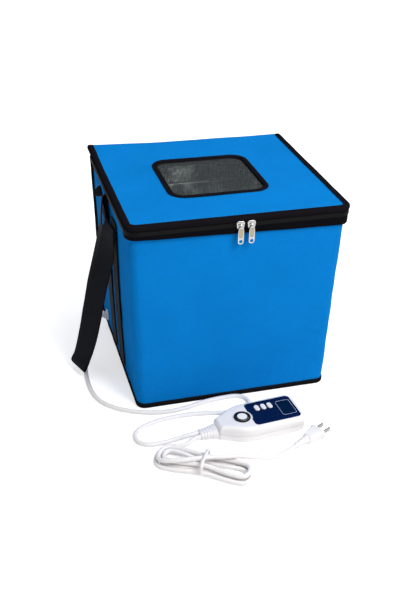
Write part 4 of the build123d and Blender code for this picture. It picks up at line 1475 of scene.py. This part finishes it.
def moulded_run(name: str, base: tuple, turn: float, stations: list, square: float) -> Piece:
    """A moulded body along a level axis, from (place, half width, half height) sections.

    Args:
        base: where the axis starts, in metres.
        turn: the axis's direction about the vertical, in radians.
        stations: sections from the face back towards the cord.
        square: 1 for round sections, less for squarer ones.
    """
    angle = full_turn(40)
    across, up = squared(np.cos(angle), square), squared(np.sin(angle), square)
    rows = [np.stack([*turned(base, turn, x, across * half_w), base[2] + up * half_h], axis=-1)
            for x, half_w, half_h in stations]
    return surface(name, np.stack(rows), "soft_white", wrap=(False, True), cap=True)


def ribbed_run(start: tuple, end: tuple, ribs: int, groove: float) -> list:
    """Sections from one to another with grooves between flexible ribs."""
    shares = np.linspace(0, 1, ribs * 8 + 1)
    inner = (shares > 0.04) & (shares < 0.98)
    cut = groove * np.clip(np.cos(shares * 2 * math.pi * ribs) * 1.6, 0, 1) * inner
    mixed = np.array(start) + (np.array(end) - np.array(start)) * shares[:, None]
    return [(x, w - c, h - c) for (x, w, h), c in zip(mixed, cut)]


@dataclass
class Cords:
    """The lead, the mains cord with its tied hank, and the tie."""

    lead_d: float = 0.0068
    mains_d: float = 0.0066
    hank_mid: tuple = (-0.086, -0.298)
    hank_turn: float = math.radians(-32.0)
    waist: float = 0.0037
    shoulder: float = 0.009
    shoulder_x: float = 0.037
    end: float = 0.0075
    half_len: float = 0.056
    step: float = 0.0073
    layer: float = 0.0071
    lift: float = 0.0022
    turns: int = 2
    plug_face: tuple = (0.0895, -0.270)
    plug_turn: float = math.radians(27.5)
    plug_grip: float = -0.026
    plug_end: float = -0.048

    def curve(self, name: str, points: list, diameter: float) -> Piece:
        """A round cord on one smooth NURBS line through given control points."""
        data = bpy.data.curves.new(name, "CURVE")
        data.dimensions = "3D"
        spline = data.splines.new("NURBS")
        spline.points.add(len(points) - 1)
        spline.points.foreach_set("co", np.hstack([np.array(points), np.ones((len(points), 1))]).ravel())
        spline.order_u = 3
        spline.use_endpoint_u = True
        spline.resolution_u = 8
        data.bevel_depth = diameter / 2
        data.bevel_resolution = 5
        data.use_fill_caps = True
        data.materials.append(finish("soft_white"))
        made = bpy.data.objects.new(name, data)
        bpy.context.scene.collection.objects.link(made)
        return made

    def hank_spot(self, u: float, v: float, z: float) -> tuple:
        """A place along and across the hank, on the floor."""
        return (*turned(self.hank_mid, self.hank_turn, u, v), z)

    def hank_corner(self, k: int, spread: float, z: float) -> tuple:
        """Corner k of a turn, as in the construction: ends, shoulders and the drawn-in waist."""
        waist, shoulder, end = self.waist + spread, self.shoulder + spread, self.end + spread
        reach, sx = self.half_len + spread, self.shoulder_x
        corners = ((-sx, shoulder), (-reach, end), (-reach, -end), (-sx, -shoulder), (0, -waist),
                   (sx, -shoulder), (reach, -end), (reach, end), (sx, shoulder), (0, waist))
        u, v = corners[k % 10]
        return self.hank_spot(u, v, z + (self.lift if u == 0 else 0.0))

    def hank_points(self) -> list:
        """Two turns in on the floor, two out on top, and the end laid across them."""
        count = 10 * self.turns
        r = self.mains_d / 2
        points = [self.hank_spot(-0.046, 0.030, r)]
        for k in range(1, count):
            points.append(self.hank_corner(k, self.step * (count - 1 - k) / 10, r))
        for k in range(count, 2 * count - 7):
            points.append(self.hank_corner(k, self.step * (k + 1 - count) / 10, r + self.layer))
        top = r + 2 * self.layer
        over = ((-self.shoulder_x, -0.018, top), (-0.006, -0.003, top + self.lift),
                (0.020, 0.007, top + self.lift), (0.042, 0.019, top), (0.058, 0.0275, 0.013))
        return points + [self.hank_spot(*spot) for spot in over]

    def port(self, y: float, reach: float = 0.0) -> tuple:
        """Where a cord leaves the controller's strain relief."""
        return (*turned(CONTROLLER, CONTROLLER_TURN, NECK_X - RELIEF - reach, y), 0.009)

    def plug_spot(self, x: float) -> tuple:
        """A place on the plug's own axis, measured from its face."""
        return (*turned(self.plug_face, self.plug_turn, x, 0.0), 0.008)

    def make_lead(self) -> None:
        """The lead: out of the grommet, down to the floor and round to the controller."""
        r = self.lead_d / 2
        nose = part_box("lead_grommet")[0].x
        points = [
            (nose, 0.088, 0.024), (nose - 0.014, 0.088, 0.024),
            (-0.184, 0.077, 0.017), (-0.191, 0.054, 0.007), (-0.196, 0.026, r), (-0.203, -0.010, r),
            (-0.208, -0.050, r), (-0.208, -0.090, r), (-0.199, -0.122, r), (-0.177, -0.145, r),
            (-0.148, -0.161, r), (-0.112, -0.170, r), (-0.078, -0.167, r), (-0.048, -0.158, r),
            (-0.020, -0.155, r), (0.0057, -0.1552, r), (0.0165, -0.166, r), (0.0165, -0.1814, r),
            (0.0057, -0.192, r), (-0.018, -0.193, r), (-0.046, -0.187, r), (-0.080, -0.182, r),
            (-0.114, -0.184, r), (-0.144, -0.191, r), (-0.164, -0.205, r), (-0.166, -0.224, r),
            (-0.153, -0.236, r), (-0.131, -0.237, r), (-0.110, -0.2345, 0.005),
            self.port(0.0042, 0.014), self.port(0.0042),
        ]
        lead = self.curve("lead", points, self.lead_d)
        place_piece(lead, "root", "cord", "lead_cord")

    def make_mains(self) -> None:
        """The mains cord: out of the relief, through the hank's turns and on to the plug."""
        hank = self.hank_points()
        points = [self.port(-0.0044), self.port(-0.0044, 0.010),
                  beyond(hank[0], hank[1], 0.010), *hank[1:-1], beyond(hank[-1], hank[-2], 0.014),
                  (0.010, -0.3045, 0.0036), (0.024, -0.301, 0.0048),
                  self.plug_spot(self.plug_end - 0.011), self.plug_spot(self.plug_end)]
        mains = self.curve("mains", points, self.mains_d)
        place_piece(mains, "root", "cord", "mains_cord", "cord_hank", "plug_cord")
        tie = self.make_tie()

    def make_tie(self) -> Piece:
        """A flat plastic tie round the waist, thickest along its middle."""
        low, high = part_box("cord_tie")
        half_w, half_h = 0.0187, (high.z - low.z) / 2 - 0.0006
        angle = full_turn(72)
        v = half_w * squared(np.cos(angle), 0.55) - 0.0018
        z = (low.z + high.z) / 2 + half_h * squared(np.sin(angle), 0.55)
        edge = 0.0024
        section = ((-edge, 0.0), (-edge, 0.0006), (0.0, 0.0008), (edge, 0.0006), (edge, 0.0), (0.0, 0.0))
        rows = []
        for u, grow in section:
            scale = 1 + grow / half_w
            rows.append([self.hank_spot(u, a * scale, b + (b - half_h) * grow * 10) for a, b in zip(v, z)])
        tie = surface("cord_tie_band", np.array(rows), "keys", wrap=(True, True))
        place_piece(tie, "root", "black_plastic", "cord_tie")
        return tie

    def make_relief(self) -> None:
        """The wide ribbed relief at the controller's neck, which holds both cords."""
        collar = [(0.0, 0.0116, 0.0072), (-0.0035, 0.0118, 0.0074)]
        ribs = ribbed_run((-0.0045, 0.0108, 0.0066), (-RELIEF, 0.0088, 0.0050), 5, 0.0013)
        relief = moulded_run("neck_relief", self.port(0.0, -RELIEF), CONTROLLER_TURN, collar + ribs, 0.7)
        place_piece(relief, "root", "white_rubber", "strain_relief")

    def make_plug(self) -> None:
        """The plug: a flange at its face, a grip that narrows, and a round ribbed relief."""
        dress("blades", "plug_blades")
        face = self.plug_spot(0.0)
        flange = [(0.0, 0.0108, 0.0066), (-0.0007, 0.0123, 0.0078), (-0.0032, 0.0124, 0.0079),
                  (-0.0040, 0.0112, 0.0072)]
        narrowing = [(-0.0100, 0.0100, 0.0068), (-0.0180, 0.0082, 0.0064), (-0.0245, 0.0072, 0.0063),
                     (self.plug_grip, 0.0064, 0.0060)]
        grip = moulded_run("plug_grip", face, self.plug_turn, flange + narrowing, 0.45)
        place_piece(grip, "root", "white_plastic", "plug_body")
        ribs = ribbed_run((self.plug_grip, 0.0060, 0.0059), (self.plug_end, 0.0042, 0.0042), 4, 0.0011)
        slim = moulded_run("plug_neck", face, self.plug_turn, ribs, 1.0)
        place_piece(slim, "root", "white_rubber", "plug_relief")

    def build(self) -> None:
        """Make both cords and the moulded ends on them."""
        self.make_relief()
        self.make_plug()
        self.make_lead()
        self.make_mains()


# ---------------------------------------------------------------- studio


@dataclass
class Studio:
    """Floor, soft lamps, white surroundings and the camera."""

    target: tuple = (0.000624, 0.04212, 0.057408)
    azimuth: float = math.radians(-16.309)
    elevation: float = math.radians(30.398)
    roll: float = math.radians(1.544)
    distance: float = 1.470768
    lens: float = 52.95
    white: tuple = (1, 1, 1, 1)
    sky: float = 0.31
    floor_glow: float = 0.56

    def make_camera(self) -> None:
        """A camera that looks at the target from the fitted direction, rolled a little."""
        a, e, r = self.azimuth, self.elevation, self.roll
        back = Vector((math.sin(a) * math.cos(e), -math.cos(a) * math.cos(e), math.sin(e)))
        right = (-back).cross(Vector((0, 0, 1))).normalized()
        up = right.cross(-back)
        turned_right = right * math.cos(r) + up * math.sin(r)
        turned_up = up * math.cos(r) - right * math.sin(r)
        data = bpy.data.cameras.new("camera")
        data.lens = self.lens
        data.sensor_width = 36.0
        data.clip_start = 0.01
        camera = bpy.data.objects.new("camera", data)
        turn = Matrix((turned_right, turned_up, back)).transposed().to_4x4()
        camera.matrix_world = Matrix.Translation(Vector(self.target) + back * self.distance) @ turn
        bpy.context.scene.collection.objects.link(camera)
        bpy.context.scene.camera = camera

    def seen_directly(self, tree: Tree) -> Socket:
        """One where a ray comes straight from the camera or off gloss or glass."""
        path = tree.nodes.new("ShaderNodeLightPath")
        gloss = maths(tree, "MAXIMUM", path.outputs["Is Glossy Ray"], path.outputs["Is Transmission Ray"])
        return maths(tree, "MAXIMUM", path.outputs["Is Camera Ray"], gloss)

    def make_world(self) -> None:
        """White to the eye, dimmer as a lamp."""
        world = bpy.data.worlds.new("world")
        bpy.context.scene.world = world
        world.use_nodes = True
        tree = world.node_tree
        tree.nodes.clear()
        lamp, eye = [node(tree, "ShaderNodeBackground", {"Color": self.white, "Strength": strength})
                     for strength in (self.sky, 1.0)]
        mix = node(tree, "ShaderNodeMixShader",
                   {0: self.seen_directly(tree), 1: lamp.outputs[0], 2: eye.outputs[0]})
        out = tree.nodes.new("ShaderNodeOutputWorld")
        tree.links.new(mix.outputs[0], out.inputs["Surface"])

    def make_floor(self) -> None:
        """A wide pale floor that keeps the object's shadow."""
        half, below = 6.0, -0.0001
        corners = [(x * half, y * half, below) for x, y in ((-1, -1), (1, -1), (1, 1), (-1, 1))]
        mesh = bpy.data.meshes.new("floor")
        mesh.from_pydata(corners, [], [(0, 1, 2, 3)])
        material, tree, principled, _, _ = new_material("pale_floor", Roughness=0.9)
        principled.inputs["Base Color"].default_value = srgb(250, 250, 250)
        strength = product(tree, self.seen_directly(tree), self.floor_glow)
        glow = node(tree, "ShaderNodeEmission", {"Color": self.white, "Strength": strength})
        total = node(tree, "ShaderNodeAddShader", {0: principled.outputs[0], 1: glow.outputs[0]})
        out = tree.nodes["Material Output"]
        tree.links.new(total.outputs[0], out.inputs["Surface"])
        mesh.materials.append(material)
        floor = bpy.data.objects.new("floor", mesh)
        bpy.context.scene.collection.objects.link(floor)

    def make_lamp(self, name: str, place: tuple, size: float, power: float) -> None:
        """A square soft lamp aimed at the box."""
        data = bpy.data.lights.new(name, "AREA")
        data.size = size
        data.energy = power
        lamp = bpy.data.objects.new(name, data)
        aim = Vector((0, 0, 0.12)) - Vector(place)
        lamp.matrix_world = Matrix.Translation(place) @ aim.to_track_quat("-Z", "Y").to_matrix().to_4x4()
        bpy.context.scene.collection.objects.link(lamp)

    def build(self) -> None:
        """Set the stage."""
        bpy.context.scene.view_settings.view_transform = "Standard"
        self.make_camera()
        self.make_world()
        self.make_floor()
        self.make_lamp("key", (0.9, -1.5, 2.2), 1.2, 52.0)
        self.make_lamp("top", (0.3, 0.4, 2.4), 1.6, 15.0)


def main() -> None:
    """Build every sub-assembly in order."""
    logging.basicConfig(level=logging.INFO, format="%(name)s: %(message)s")
    Studio().build()
    Cords().build()
    SoftBox().build()
    Lid().build()
    Zip().build()
    for side in Side:
        Slider(side).build()
        Handle(side).build()
    Controller().build()


if __name__ == "__main__":
    main()
